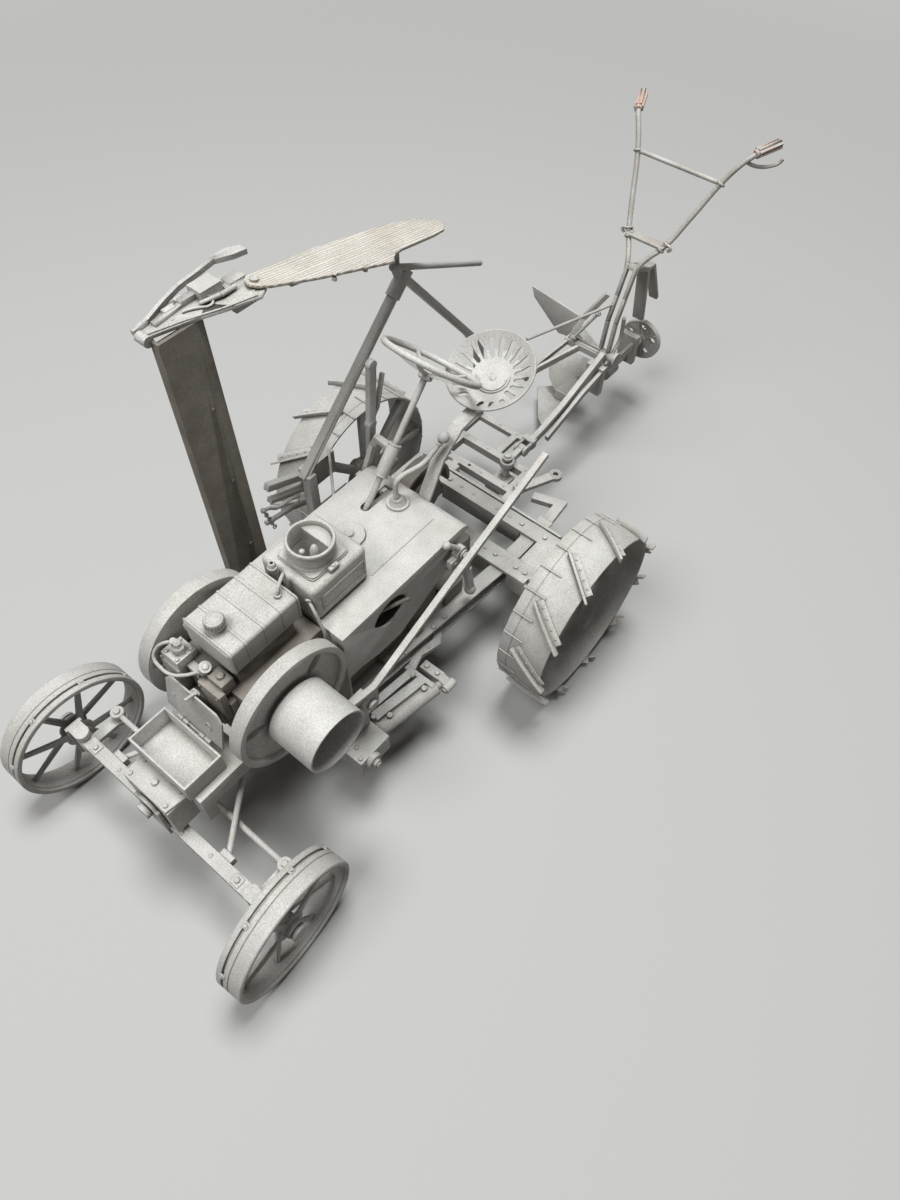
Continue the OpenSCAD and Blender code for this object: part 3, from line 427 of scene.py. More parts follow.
def addRound(bm, radius, low, high, matrix, sides=24):
    return bmesh.ops.create_cone(
        bm, cap_ends=True, segments=sides, radius1=radius * mm, radius2=radius * mm,
        depth=(high - low) * mm, matrix=matrix @ slid(0, 0, (low + high) / 2))["verts"]


def addRod(bm, start, end, radius, sides=20):
    along = Vector(end) - Vector(start)
    addRound(bm, radius, 0, along.length, standAt(*start, axis=along), sides)


def addBall(bm, place, radius, rings=10):
    bmesh.ops.create_uvsphere(bm, u_segments=rings * 2, v_segments=rings, radius=radius * mm,
                              matrix=moved(*place))


def addDome(bm, radius, height, matrix, sides=12):
    made = bmesh.ops.create_uvsphere(bm, u_segments=sides, v_segments=6, radius=radius * mm)["verts"]
    return put(bm, made, matrix @ Matrix.Diagonal((1, 1, height / radius, 1)))


def ringOf(radius, wide, high, steps, level=0):
    return [(radius + wide * cos(a), level + high * sin(a))
            for a in (tau * i / steps for i in range(steps))]


# a profile that ends on the axis stays open
def lathe(bm, profile, matrix, steps):
    ring = [bm.verts.new((r * mm, 0, h * mm)) for r, h in profile]
    lines = [bm.edges.new((ring[i], ring[i + 1])) for i in range(len(ring) - 1)]
    if profile[-1][0] > 0:
        lines.append(bm.edges.new((ring[-1], ring[0])))
    known = set(bm.verts) - set(ring)
    bmesh.ops.spin(bm, geom=ring + lines, cent=(0, 0, 0), axis=(0, 0, 1), angle=tau, steps=steps,
                   use_merge=True)
    return put(bm, [v for v in bm.verts if v not in known], matrix)


def addTube(bm, points, radius, sides=3):
    curve = bpy.data.curves.new("route", "CURVE")
    curve.dimensions = "3D"
    curve.bevel_depth = radius * mm
    curve.bevel_resolution = sides
    curve.use_fill_caps = True
    curve.resolution_u = 8
    spline = curve.splines.new("BEZIER")
    spline.bezier_points.add(len(points) - 1)
    for knot, point in zip(spline.bezier_points, points):
        knot.co = spot(*point)
        knot.handle_left_type = knot.handle_right_type = "AUTO"
    holder = bpy.data.objects.new("route", curve)
    mesh = bpy.data.meshes.new_from_object(holder)
    bm.from_mesh(mesh)
    bpy.data.meshes.remove(mesh)
    bpy.data.objects.remove(holder)
    bpy.data.curves.remove(curve)


def addPlate(bm, outline, low, high, matrix):
    base = [bm.verts.new((x * mm, y * mm, low * mm)) for x, y in outline]
    grown = bmesh.ops.extrude_face_region(bm, geom=[bm.faces.new(base)])["geom"]
    top = [v for v in grown if isinstance(v, bmesh.types.BMVert)]
    bmesh.ops.translate(bm, vec=(0, 0, (high - low) * mm), verts=top)
    return put(bm, base + top, matrix)


def wheelBase(x, y, z):
    return moved(x, 0, z) @ spin(-90, "X") @ slid(0, 0, y)


def mirror(bm):
    bmesh.ops.scale(bm, vec=(1, -1, 1), verts=bm.verts)


# steering wheel
steering = {
    "hub": (11.65, -15, 187), "tilt": 40.5, "ring": 26.8, "wire": 1.75, "rise": 6.4,
    "spokes": 5, "first": 15, "spokeFrom": 2.5,
    "boss": [(0, -3), (3.2, -3), (4, -2.2), (4, 1.6), (3.4, 2.2), (2.6, 2.3), (2.6, 3.2), (0, 3.2)],
}


def makeSteeringWheel():
    bm = bmesh.new()
    base = moved(*steering["hub"]) @ spin(-steering["tilt"], "Y")
    ring, rise = steering["ring"], steering["rise"]
    lathe(bm, ringOf(ring, steering["wire"], steering["wire"], 16, rise), base, steps=96)
    for i in range(steering["spokes"]):
        turn = base @ spin(steering["first"] + 360 * i / steering["spokes"])
        spoke = makeStrip((steering["spokeFrom"], -1.5, -0.7), (ring - 0.6, 1.5, 0.9), 10)
        for v in spoke.verts:
            part = v.co.x / (ring * mm)
            v.co.y *= 1.15 - 0.55 * part
            v.co.z = v.co.z * (1 - 0.2 * part) + rise * mm * part ** 1.6
        put(spoke, spoke.verts, turn)
        joinTo(bm, spoke)
    lathe(bm, steering["boss"], base, steps=32)
    addRound(bm, 2.2, 2.6, 4.2, base, sides=6)
    finishPiece("steeringWheel", bm, "steering_wheel", angle=40)


makeSteeringWheel()

# front wheels
front = {
    "x": 239, "y": 75.9, "z": 40.2, "toe": 3.7, "kingX": 240.5, "kingY": 66.5,
    "spokes": 8, "spokeFrom": 4.8, "spokeTo": 37, "feet": (10.7, 4.1), "tip": 8.1,
    "rim": [(37.5, 0), (38.9, 0), (39.9, 0.25), (40.2, 0.7), (40.2, 3.1), (39.9, 3.4), (38.7, 3.5),
            (38.7, 4.7), (39.9, 4.8), (40.15, 5.1), (40.15, 7.6), (39.75, 7.8), (39.75, 8.1), (40.15, 8.3),
            (40.2, 15.3), (39.8, 15.8), (39.2, 16), (38, 16), (37.5, 15.6), (37.4, 14.4), (36.5, 14.0),
            (36.5, 2.2), (37.3, 1.8)],
    "hub": [(3.1, 0.6), (5.2, 0.6), (5.6, 1.0), (5.6, 3.0), (8.2, 3.2), (8.6, 3.6), (8.6, 4.6), (8.2, 5.0),
            (5.4, 5.2), (5.4, 9.6), (8.0, 9.8), (8.4, 10.2), (8.4, 11.2), (8.0, 11.6), (5.4, 11.8),
            (5.2, 14.2), (4.8, 14.6), (3.1, 14.6)],
}


def makeFrontWheel(side, node, name):
    bm = bmesh.new()
    base = wheelBase(front["x"], front["y"], front["z"])
    lathe(bm, front["rim"], base, steps=96)
    lathe(bm, front["hub"], base, steps=32)
    start, end, tip = front["spokeFrom"], front["spokeTo"], front["tip"]
    for i in range(front["spokes"]):
        turn = base @ turned(i + 0.5, front["spokes"])
        foot = front["feet"][i % 2]
        spoke = makeStrip((start, -1.7, -0.8), (end, 1.7, 0.8), 1)
        for v in spoke.verts:
            along = (v.co.x / mm - start) / (end - start)
            v.co.y *= 1.25 - 0.5 * along
            v.co.z += (foot + (tip - foot) * along) * mm
        put(spoke, spoke.verts, turn)
        joinTo(bm, spoke)
        lean = Matrix.Rotation(pi / 2 - atan2(tip - foot, 30), 4, "Y")
        addRound(bm, 0.75, 6, 36, turn @ slid(0, 0, foot) @ lean, sides=8)
        addDome(bm, 0.9, 0.6, turn @ slid(7, 0, foot + 0.8))
        pad = turn @ slid(40.0, 0, 4.1) @ spin(90, "Y")
        addBlock(bm, (-1.7, -1.8, -0.45), (1.7, 1.8, 0.45), 0.25, pad)
        addRound(bm, 1.1, 0.3, 1.0, pad, sides=6)
    if side < 0:
        mirror(bm)
    else:
        pin = spot(front["kingX"], front["kingY"], 0)
        toe = Matrix.Rotation(radians(front["toe"]), 3, "Z")
        bmesh.ops.rotate(bm, cent=pin, matrix=toe, verts=bm.verts)
    finishPiece(name, bm, node, angle=35)


for side, word in ((1, "left"), (-1, "right")):
    makeFrontWheel(side, "front_wheel_" + word, "frontWheel" + word.title())
print("steering wheel and front wheels made")

# rear wheels
rear = {
    "inner": 75.9, "rim": 56, "z": 60, "slant": 37, "spokes": 8, "rivets": (10.6, 13.6),
    "lugs": 11, "lugStart": 15.4, "lugFrom": 84, "lugTo": 111, "lugRivets": (0.16, 0.36, 0.56, 0.74),
    "ribs": 24, "ribStart": 6.8, "ribLong": 13.5,
    "profile": [(54.4, 0.3), (54.7, 0), (55.8, 0), (56, 0.3), (56, 6.1), (55.7, 6.3), (55.7, 6.7), (56, 6.9),
                (56, 29.6), (55.8, 29.9), (54.5, 29.9), (54.2, 29.6), (54.2, 1.2)],
    "hub": [(3.1, -5), (7.4, -5), (8, -4.4), (8, 0.4), (15.4, 0.6), (16, 1.2), (16, 3.8), (15.4, 4.4),
            (8.4, 4.6), (8, 5.2), (8, 10.4), (7.4, 11), (3.1, 11)],
}


def wrapOnRim(verts, start, slant, y0):
    for v in verts:
        u, w, h = v.co / mm
        angle = start - (u * sin(slant) + w * cos(slant)) / rear["rim"]
        radius = rear["rim"] + h
        v.co = spot(radius * cos(angle), y0 + u * cos(slant) - w * sin(slant),
                    rear["z"] + radius * sin(angle))


def makeRearWheel(side, node, name):
    bm = bmesh.new()
    base = wheelBase(0, rear["inner"], rear["z"])
    lathe(bm, rear["profile"], base, steps=128)
    lathe(bm, rear["hub"], base, steps=40)
    for i in range(rear["spokes"]):
        turn = base @ turned(i, rear["spokes"])
        addBlock(bm, (6, -3, 1), (55, 3, 4), 0.5, turn)
        addBlock(bm, (16, -0.6, 4), (54.6, 0.6, 6.2), 0.3, turn)
        addBlock(bm, (53.4, -4, 1.2), (54.6, 4, 9), 0.4, turn)
        for r in rear["rivets"]:
            addDome(bm, 1.0, 0.7, turn @ slid(r, 0, 4.3))
    if side < 0:
        mirror(bm)
    finishPiece(name, bm, node, angle=35)


# a straight bar, softened and then bent round the rim
def addRimBar(bm, low, high, start, slant, y0, cuts=10):
    part = makeStrip(low, high, cuts)
    roundEdges(part, 0.25)
    wrapOnRim(part.verts, start, slant, y0)
    joinTo(bm, part)


def makeLugs(side, node, name):
    bm = bmesh.new()
    slant = radians(rear["slant"])
    length = (rear["lugTo"] - rear["lugFrom"] - 1.8) / cos(slant)
    y0 = rear["lugFrom"] + 1
    for i in range(rear["lugs"]):
        start = radians(rear["lugStart"]) - tau * i / rear["lugs"]
        addRimBar(bm, (0, -0.4, -0.1), (length, 1.0, 3.7), start, slant, y0)
        addRimBar(bm, (0.6, -4.6, -0.1), (length * 0.86, -0.2, 0.8), start, slant, y0)
        for part in rear["lugRivets"]:
            rivet = addDome(bm, 0.8, 0.5, slid(length * part, -2.6, 0.8), sides=8)
            wrapOnRim(rivet, start, slant, y0)
    for i in range(rear["ribs"]):
        start = radians(rear["ribStart"]) + tau * i / rear["ribs"]
        rib = (rear["ribLong"], 0.4, 0.9)
        addRimBar(bm, (0, -0.4, -0.1), rib, start, 0, rear["inner"], cuts=2)
    if side < 0:
        mirror(bm)
    finishPiece(name, bm, node, angle=35)


for side, word in ((1, "left"), (-1, "right")):
    makeRearWheel(side, "rear_wheel_" + word, "rearWheel" + word.title())
    makeLugs(side, "rear_lugs_" + word, "rearLugs" + word.title())
print("rear wheels made")

# bolts, nuts and rivets that sit on the castings: kind, place, axis, radius and height
lidHinge, lidTurn, lidOut = (206.6, 0, 100.2), radians(-103), (0.974, 0, 0.225)
steerAxis = (0.649, 0, -0.760)
up, out, left, right = (0, 0, 1), (1, 0, 0), (0, 1, 0), (0, -1, 0)
sides = (-1, 1)


def onLid(x, y, z):
    c, s = cos(lidTurn), sin(lidTurn)
    return (lidHinge[0] + x * c + z * s, y, lidHinge[2] - x * s + z * c)


def steerAt(along):
    x, y, z = steering["hub"]
    return (x + steerAxis[0] * along, y, z + steerAxis[2] * along)


def each(kind, axis, radius, height, places):
    return [(kind, place, axis, radius, height) for place in places]


fittings = {
    "toolbox_lid": [
        ("dome", onLid(14, -14.5, 0.2), lidOut, 1.3, 0.7), ("ring", onLid(12, 10.6, 0.2), lidOut, 2.0, 0.5),
        *each("dome", lidOut, 0.55, 0.35, [onLid(3.6, y, 0.2) for y in (-17, -10, -4, 4, 10, 17)])],
    "toolbox": each("dome", out, 0.7, 0.4, [(231.2, y, 90) for y in (-16, -8, 0, 8, 16)]),
    "injection_pump": [
        *each("hex", up, 0.9, 0.8, [(x, y, 134) for x in (186.2, 194.4) for y in (-22.4, -14.6)]),
        ("hex", (190, -18, 134), up, 3.4, 1.4), ("hex", (190, -18, 137), up, 2.6, 1.4),
        ("dome", (190, -18, 141), up, 1.1, 0.8),
        ("hex", (197, -20, 118), out, 2.0, 1.2), ("dome", (198.2, -20, 118), out, 1.0, 0.7)],
    "injector": [
        ("hex", (190, -3.4, 127.4), (0, 9.5, 24), 2.9, 2.2),
        ("hex", (190, 1.6, 139.8), (0, 2.8, 7.1), 1.6, 1.2),
        ("hex", (191.8, -2.2, 132.6), out, 1.7, 2.0), ("hex", (190, 2.4, 134.2), (0, 7.1, -2.8), 1.5, 2.0)],
    "valve_box": [
        *each("hex", out, 0.9, 0.7, [(196, y, z) for y in (2.6, 14.4) for z in (113.8, 132.2)]),
        ("hex", (199, -3, 103), out, 1.5, 1.0), ("ring", (195, -3, 103), out, 4.1, 0.5),
        ("hex", (188, 9, 137), up, 2.0, 1.2)],
    "front_bolster": [
        *each("dome", out, 1.0, 0.6, [(243, y, z) for y in (-13, 13) for z in (66, 80)]),
        ("hex", (236, 0, 86), up, 1.7, 1.2)],
    "axle_bar": [
        *each("dome", up, 1.1, 0.7, [(x, s * 16, 56) for s in sides for x in (239, 242.3)]),
        *each("dome", up, 1.1, 0.7, [(240.6, s * 36, 56) for s in sides]),
        *each("plate", up, 2.8, 0.6, [(240.6, s * 55.5, 56) for s in sides]),
        *each("hex", up, 1.4, 1.0, [(240.6, s * 55.5, 56.6) for s in sides])],
    "rear_axle": each("dome", up, 1.2, 0.8, [(0.6, s * y, 62.5) for s in sides for y in (12, 24)]),
    "rear_crossbeam": each("dome", up, 1.2, 0.8, [(-30.5, s * y, 62) for s in sides for y in (10, 20, 58)]),
    "hitch_frame": [
        *each("dome", up, 1.0, 0.6, [(-57, y, 52) for y in (-24, -4)]),
        *each("dome", up, 1.0, 0.6, [(-78.2, y, 52) for y in (-54, -34, -1)]),
        *each("dome", up, 1.0, 0.6, [(-103.5, y, 51) for y in (-60, -42, -27)]),
        ("hex", (-73, -13.5, 61.5), up, 2.5, 1.4), ("hex", (-61, 6, 56.9), up, 2.4, 1.2),
        ("dome", (-61, 6, 58.1), up, 1.2, 0.8), ("ring", (-86.6, 18.2, 54.9), up, 3.4, 0.5)],
    "side_gearbox": [
        *each("dome", left, 1.0, 0.6, [(x, 59, z) for x in (134.6, 152.6) for z in (37.4, 47.6)]),
        *each("hex", up, 1.1, 0.8, [(152.6, 43, 50), (152.6, 56.4, 50), (149, 50, 50)]),
        ("hex", (147, 64, 45), left, 1.8, 1.2)],
    "shaft_housing": each("hex", up, 1.3, 0.9, [(128.6, 44, 48.4), (94.6, 44, 50)]),
    "crank_arm": [
        ("hex", (88, 63, 45.4), out, 1.9, 1.2), ("hex", (84, 46, 49.4), up, 1.5, 1.0),
        ("hex", (84, 54, 49.6), up, 1.5, 1.0), ("dome", (74, 39, 50.9), up, 1.2, 0.8)],
    "rock_arm": [("dome", (41, 42, 97.6), left, 1.4, 0.9), ("dome", (53.5, 40.6, 114), left, 1.2, 0.8)],
    "gear_cover": [
        ("hex", (48, 42.4, 118), left, 2.2, 1.2), ("hex", (84, -8, 129.4), up, 2.4, 1.2),
        ("dome", (50.4, -3.5, 132.2), up, 3.5, 1.7)],
    "brake_quadrant": [
        ("hex", (30.6, -44.4, 86.8), right, 2.1, 1.2),
        *each("dome", left, 0.9, 0.6, [(46, -34.6, z) for z in (94, 104, 116)])],
    "seat_spring": each("dome", out, 0.8, 0.5, [(41.8, y, z) for y in (2, 6) for z in (113, 119)]),
    "stay_rods": each("hex", out, 1.8, 1.2, [(237, s * 42, 52.5) for s in sides]),
    "engine_block": [
        ("hex", (x, s * 21.9, z), (0, s, 0), 1.3, 0.9) for s in sides for x in (140, 150) for z in (80, 124)],
    "hopper": each("hex", right, 1.1, 0.7, [(x, -18.2, 146) for x in (104, 127)]),
    "steering_tube": [
        *each("ring", steerAxis, 3.6, 0.45, [steerAt(along) for along in (40.6, 58.9)]),
        ("dome", (39.6, -17.4, 154.6), up, 1.2, 0.7)],
    "flywheel_right": [("hex", (170.3, -38.1, 112.5), right, 3.4, 1.6)],
}


def addFittings(bm, node):
    for kind, place, axis, radius, height in fittings.get(node, []):
        base = standAt(*place, axis=axis)
        if kind == "dome":
            addDome(bm, radius, height, base, sides=14)
        elif kind == "ring":
            lathe(bm, ringOf(radius, height, height, 8), base, steps=28)
        elif kind == "plate":
            addBlock(bm, (-radius, -radius, -0.2), (radius, radius, height), 0.2, base)
        else:
            addRound(bm, radius * 1.12, -0.2, 0.25, base, sides=24)
            soften(bm, addRound(bm, radius, 0.2, height, base, sides=6), 0.12)


print("fittings listed")

# fuel tank and cap
tank = {
    "low": (140.5, -16, 139.6), "high": (184.4, 16, 156.2), "round": 2.0, "capX": 177,
    "bands": (152, 163, 174), "bandWide": 1.3, "bandHigh": 0.28,
    "lips": (141.5, 182.6), "lipWide": 0.9, "lipHigh": 0.4,
    "collar": [(0, -0.4), (5.6, -0.4), (5.4, 0.1), (4.9, 0.4), (4.7, 0.7), (4.7, 1.6), (4.3, 2.0), (3.0, 2.2),
               (3.0, 2.5), (0, 2.5)],
    "cap": [(3.15, 2.1), (4.0, 2.2), (4.0, 2.9), (4.8, 3.1), (4.95, 3.4), (4.95, 3.9), (4.6, 4.1), (4.6, 7.1),
            (4.4, 7.7), (3.7, 7.95), (3.3, 7.6), (2.2, 7.6), (1.8, 7.8), (0, 7.85)],
    "ribs": 22,
}


# a strap over the tank whose corners are as round as the tank's own
def addStrap(bm, x, wide, proud):
    low = (x, tank["low"][1] - proud, tank["low"][2] + 0.1)
    high = (x + wide, tank["high"][1] + proud, tank["high"][2] + proud)
    long = [e for e in edgesOf(addBox(bm, low, high))
            if abs(e.verts[0].co.x - e.verts[1].co.x) > wide * mm / 2]
    roundEdges(bm, tank["round"], segments=4, edges=long)


def makeTank():
    bm = bmesh.new()
    soften(bm, addBox(bm, tank["low"], tank["high"]), tank["round"], segments=4)
    for x in tank["bands"]:
        addStrap(bm, x - tank["bandWide"] / 2, tank["bandWide"], tank["bandHigh"])
    for x in tank["lips"]:
        addStrap(bm, x, tank["lipWide"], tank["lipHigh"])
    top = standAt(tank["capX"], 0, tank["high"][2])
    lathe(bm, tank["collar"], top, steps=40)
    addBlock(bm, (180, -17.6, 146), (184, -15.4, 150), 0.5)
    finishPiece("fuelTank", bm, "fuel_tank", angle=38)


def makeCap():
    bm = bmesh.new()
    top = standAt(tank["capX"], 0, tank["high"][2])
    lathe(bm, tank["cap"], top, steps=48)
    lathe(bm, [(3.15, 2.1), (3.15, 3.2), (0, 3.2)], top, steps=48)
    for i in range(tank["ribs"]):
        addRound(bm, 0.36, 3.9, 7.2, top @ turned(i, tank["ribs"]) @ slid(4.6, 0, 0), sides=6)
    finishPiece("tankCap", bm, "tank_cap", angle=38)


# filler ring, and the half-moon plate inside it
filler = {
    "at": (117, 1, 152.6), "bore": 10.6, "corner": 2.6, "flanges": ((0, 0.8, 12.8), (0.85, 1.6, 12.2)),
    "ring": [(10.6, 0), (12.0, 0), (12.2, 0.6), (12.4, 1.6), (12.2, 2.2), (11.7, 2.6), (11.7, 9.4),
             (12.1, 9.9), (12.4, 10.6), (12.4, 11.6), (12.1, 12.2), (11.5, 12.4), (10.9, 12.2), (10.6, 11.6)],
    "lugs": (-14.6, 13.8),
}
baffle = {
    "at": (117, 1), "bore": 10.5, "edge": 3.3, "low": 159.8, "high": 162, "float": (117, 3, 152),
    "floatShape": [(0, 0), (2.6, 0), (2.6, 4), (2.3, 6), (1.5, 8), (0.8, 8.8), (0, 9)],
    "ball": (121.4, -1.4, 156.4), "stemFrom": 152,
}


# a square plate with round corners and a round hole
def addFlange(bm, half, corner, bore, low, high, matrix, steps=48):
    rings = []
    for height in (low, high):
        outer, inner = [], []
        for step in range(steps):
            a = tau * step / steps
            x, y = cos(a), sin(a)
            reach = half / max(abs(x), abs(y))
            over = min(abs(x), abs(y)) * reach - (half - corner)
            if over > 0:
                bow = (half - corner) * (abs(x) + abs(y))
                reach = bow + sqrt(max(bow * bow - 2 * (half - corner) ** 2 + corner ** 2, 0))
            outer.append(bm.verts.new((x * reach * mm, y * reach * mm, height * mm)))
            inner.append(bm.verts.new((x * bore * mm, y * bore * mm, height * mm)))
        rings += [outer, inner]
    for i in range(steps):
        j = (i + 1) % steps
        for first, second in ((2, 3), (0, 1), (0, 2), (1, 3)):
            a, b = rings[first], rings[second]
            bm.faces.new((a[i], a[j], b[j], b[i]))
    put(bm, [v for ring in rings for v in ring], matrix)


def makeFiller():
    bm = bmesh.new()
    x, y, z = filler["at"]
    top = standAt(x, y, z)
    lathe(bm, filler["ring"], top, steps=72)
    for low, high, half in filler["flanges"]:
        addFlange(bm, half, filler["corner"], filler["bore"], low, high, top)
    for side in filler["lugs"]:
        addBlock(bm, (x - 3, side, z), (x + 3, side + 2.8, z + 2.8), 0.5)
        addRound(bm, 1.0, 0, 0.6, standAt(x, side + 1.4, z + 2.7), sides=6)
    finishPiece("fillerRing", bm, "filler_ring", angle=38)


def makeBaffle():
    bm = bmesh.new()
    x, y = baffle["at"]
    reach = acos(baffle["edge"] / baffle["bore"])
    moon = [(x - baffle["bore"] * cos(a), y + baffle["bore"] * sin(a))
            for a in (reach * (step / 12 - 1) for step in range(25))]
    soften(bm, addPlate(bm, moon, baffle["low"], baffle["high"], moved(0, 0, 0)), 0.25, angle=50)
    lathe(bm, baffle["floatShape"], standAt(*baffle["float"]), steps=24)
    addRod(bm, (*baffle["ball"][:2], baffle["stemFrom"]), baffle["ball"], 0.8, sides=12)
    addBall(bm, baffle["ball"], 1.6)
    finishPiece("hopperBaffle", bm, "hopper_baffle", angle=38)


makeTank()
makeCap()
makeFiller()
makeBaffle()
print("tank, cap and filler ring made")

# pipes
pipes = {
    "fuel": [(190.2, -20.2, 139.6), (193.4, -23.4, 139.2), (197.2, -26.2, 135.6), (200.2, -25.6, 131.2),
             (201, -21, 129.4), (200.6, -14, 129.8), (197.4, -7.4, 132), (194, -3, 134.4),
             (191.4, -0.6, 135.8)],
    "fuelNuts": (((190.2, -20.2, 138.6), (190.4, -20.4, 140.8)), ((192.2, -1.4, 135.2), (190.8, 0, 136.4))),
    "drain": [(135.4, 15.2, 146), (136.6, 19.4, 143), (136.8, 22.6, 136), (136.9, 24.8, 129),
              (137.3, 25.2, 119), (137.4, 25.2, 112)],
    "drainNut": [(0, -0.6), (1.7, -0.6), (1.7, 0.5), (1.2, 0.8), (0, 0.8)],
    "vent": [(137.6, 3, 128), (137.6, 3, 154), (137.8, 3.2, 159), (140, 5.2, 161.8), (143.6, 7, 161.4),
             (146.4, 8.2, 159), (147, 8.6, 156)],
    "ventMouth": [(0, -1), (1.7, -1), (1.7, 0.6), (0, 0.8)],
    "whistle": [(0, 0), (2.5, 0), (2.5, 28.6), (2.6, 29), (2.6, 29.8), (2.2, 30.2), (1.9, 30.3), (1.9, 32),
                (1.5, 32.6), (0.9, 32.6), (0.9, 30.8), (0, 30.8)],
}


def makePipes():
    bm = bmesh.new()
    addTube(bm, pipes["fuel"], 0.9, sides=4)
    for start, end in pipes["fuelNuts"]:
        addRod(bm, start, end, 1.9, sides=6)
    finishPiece("fuelPipe", bm, "fuel_pipe", angle=50)
    bm = bmesh.new()
    addTube(bm, pipes["drain"], 0.85, sides=4)
    lathe(bm, pipes["drainNut"], standAt(135.6, 15.3, 146, (1, 0.6, -0.4)), steps=16)
    finishPiece("drainPipe", bm, "drain_pipe", angle=50)
    bm = bmesh.new()
    addTube(bm, pipes["vent"], 0.9, sides=4)
    lathe(bm, pipes["whistle"], standAt(137.3, -5, 128), steps=32)
    lathe(bm, pipes["ventMouth"], standAt(147, 8.6, 156.9), steps=16)
    finishPiece("ventAndWhistle", bm, "whistle", angle=40)


makePipes()

# gear lever
lever = {
    "rod": [(51, -3.5, 134), (51.3, -3.5, 141), (50.6, -3.3, 145.4), (47.4, -2.4, 148), (41, -0.2, 149.2),
            (34.6, 2, 150.8), (29, 3.4, 154.8), (24, 4.5, 159.6)],
    "thick": 1.45, "grip": (21.5, 5, 162), "foot": (51, -3.5, 134.8),
    "collar": [(0, -0.8), (2.0, -0.8), (2.2, -0.3), (2.0, 0.3), (0, 0.3)],
}


def makeGearLever():
    bm = bmesh.new()
    addTube(bm, lever["rod"], lever["thick"], sides=4)
    addBall(bm, lever["grip"], 3.35, rings=12)
    addBall(bm, lever["foot"], 1.85, rings=8)
    neck = standAt(24.2, 4.4, 159.4, (-0.55, 0.1, 0.5))
    lathe(bm, lever["collar"], neck, steps=20)
    finishPiece("gearLever", bm, "gear_lever", angle=50)


makeGearLever()
print("pipes and levers made")

# plough handles; the lists give places for one side, from the middle of the plough
handles = {
    "y": -13.5, "rod": 1.75, "copper": (0.64, 0.40, 0.32),
    "side": [(-202, 3.6, 138), (-203.6, 4.6, 143.6), (-208, 8, 149.4), (-214.6, 13.6, 155.8),
             (-226, 22, 174.6), (-238, 30.7, 196), (-245, 37.6, 208), (-249.4, 41.6, 212.6),
             (-254.4, 44.2, 214.4)],
    "flat": [(-188, 82), (-190, 105), (-196, 122), (-203, 143)],
    "rings": [(-213.2, 12.4, 154.6, 0.45), (-216.2, 15.0, 158, 0.45), (-238, 30.7, 196, 0.35)],
    "eye": [(-214.6, 13, 157.4), (-214.6, 17.2, 158.4), (-214.6, 18.8, 156.6), (-214.6, 17, 154.6)],
    "gripFrom": (-250.9, 42.7, 214), "gripTo": (-267.9, 49.7, 216), "grip": 2.6, "flutes": 7, "flute": 0.75,
    "hook": [(-246.6, 38.9, 209.4), (-251, 42.6, 206.6), (-256, 46.4, 205), (-261.6, 50.4, 204.8),
             (-265.4, 53.2, 206), (-266.8, 54.6, 208.6)],
    "brace": [(-183, 5.2, 74), (-192, 5.2, 80), (-198.4, 5.2, 87), (-198.6, 5.2, 96), (-197.4, 5.2, 106)],
    "stand": [((-201, 142), (-223, 131.4), 9, 3.4), ((-222, 133.4), (-233, 84), 8.6, 3.4),
              ((-232, 130), (-252, 92), 7, 3), ((-221, 130.6), (-233, 129), 7, 3)],
}


def onHandle(points, side=1):
    return [(x, handles["y"] + side * y, z) for x, y, z in points]


def makeHandles():
    y0 = handles["y"]
    bm = bmesh.new()
    for side in (1, -1):
        addTube(bm, onHandle(handles["side"], side), handles["rod"], sides=4)
        for (x0, z0), (x1, z1) in zip(handles["flat"], handles["flat"][1:]):
            addBar(bm, (x0, y0 + side * 3.2, z0), (x1, y0 + side * 3.2, z1), 2.4, 4.4)
        for x, y, z, lean in handles["rings"]:
            ring = standAt(x, y0 + side * y, z, (-0.5, side * lean, 0.85))
            lathe(bm, ringOf(2.3, 0.75, 0.9, 10), ring, steps=24)
        addTube(bm, onHandle(handles["eye"], side), 1.0)
    addBlock(bm, (-3.5, -14.5, -1), (3.5, 14.5, 1), 0.5, moved(-214.6, y0, 156))
    addRod(bm, (-238, y0 - 30.7, 196), (-238, y0 + 30.7, 196), 1.45, sides=16)
    for y in (-11.6, 11.6):
        addDome(bm, 1.6, 1.1, moved(-214.6, y0 + y, 157))
    addTube(bm, onHandle(handles["hook"]), 1.15)
    addTube(bm, onHandle(handles["brace"]), 1.45)
    addRod(bm, (-106, y0 - 16.5, 131), (-194.6, y0 - 3.4, 115.4), 1.05, sides=12)
    for (x0, z0), (x1, z1), wide, thick in handles["stand"]:
        addBar(bm, (x0, y0, z0), (x1, y0, z1), wide, thick)
    finishPiece("ploughHandles", bm, "plough_handles", angle=40)


def makeGrips():
    bm = bmesh.new()
    wide, flute = handles["grip"], handles["flute"]
    for side in (1, -1):
        a, b = (Vector(p) for p in onHandle((handles["gripFrom"], handles["gripTo"]), side))
        long = (b - a).length
        base = standAt(*a, axis=(b - a))
        tip = [(2.5, long - 0.6), (2.0, long - 0.1), (0, long - 0.1)]
        shape = [(0, -1.4), (2.0, -1.4), (wide, -0.8), (2.5, 0)] + tip
        lathe(bm, shape, base, steps=28)
        for i in range(handles["flutes"]):
            turn = base @ turned(i, handles["flutes"]) @ slid(wide, 0, 0)
            addRound(bm, flute, 0.2, long - 1.1, turn, sides=12)
            addDome(bm, flute, 0.7, turn @ slid(0, 0, long - 1.1))
    piece = finishPiece("handleGrips", bm, "plough_handles", angle=40)
    piece.data.materials[0] = blastedMetal("copperyGrip", finishes["handle_metal"], tint=handles["copper"])


makeHandles()
makeGrips()

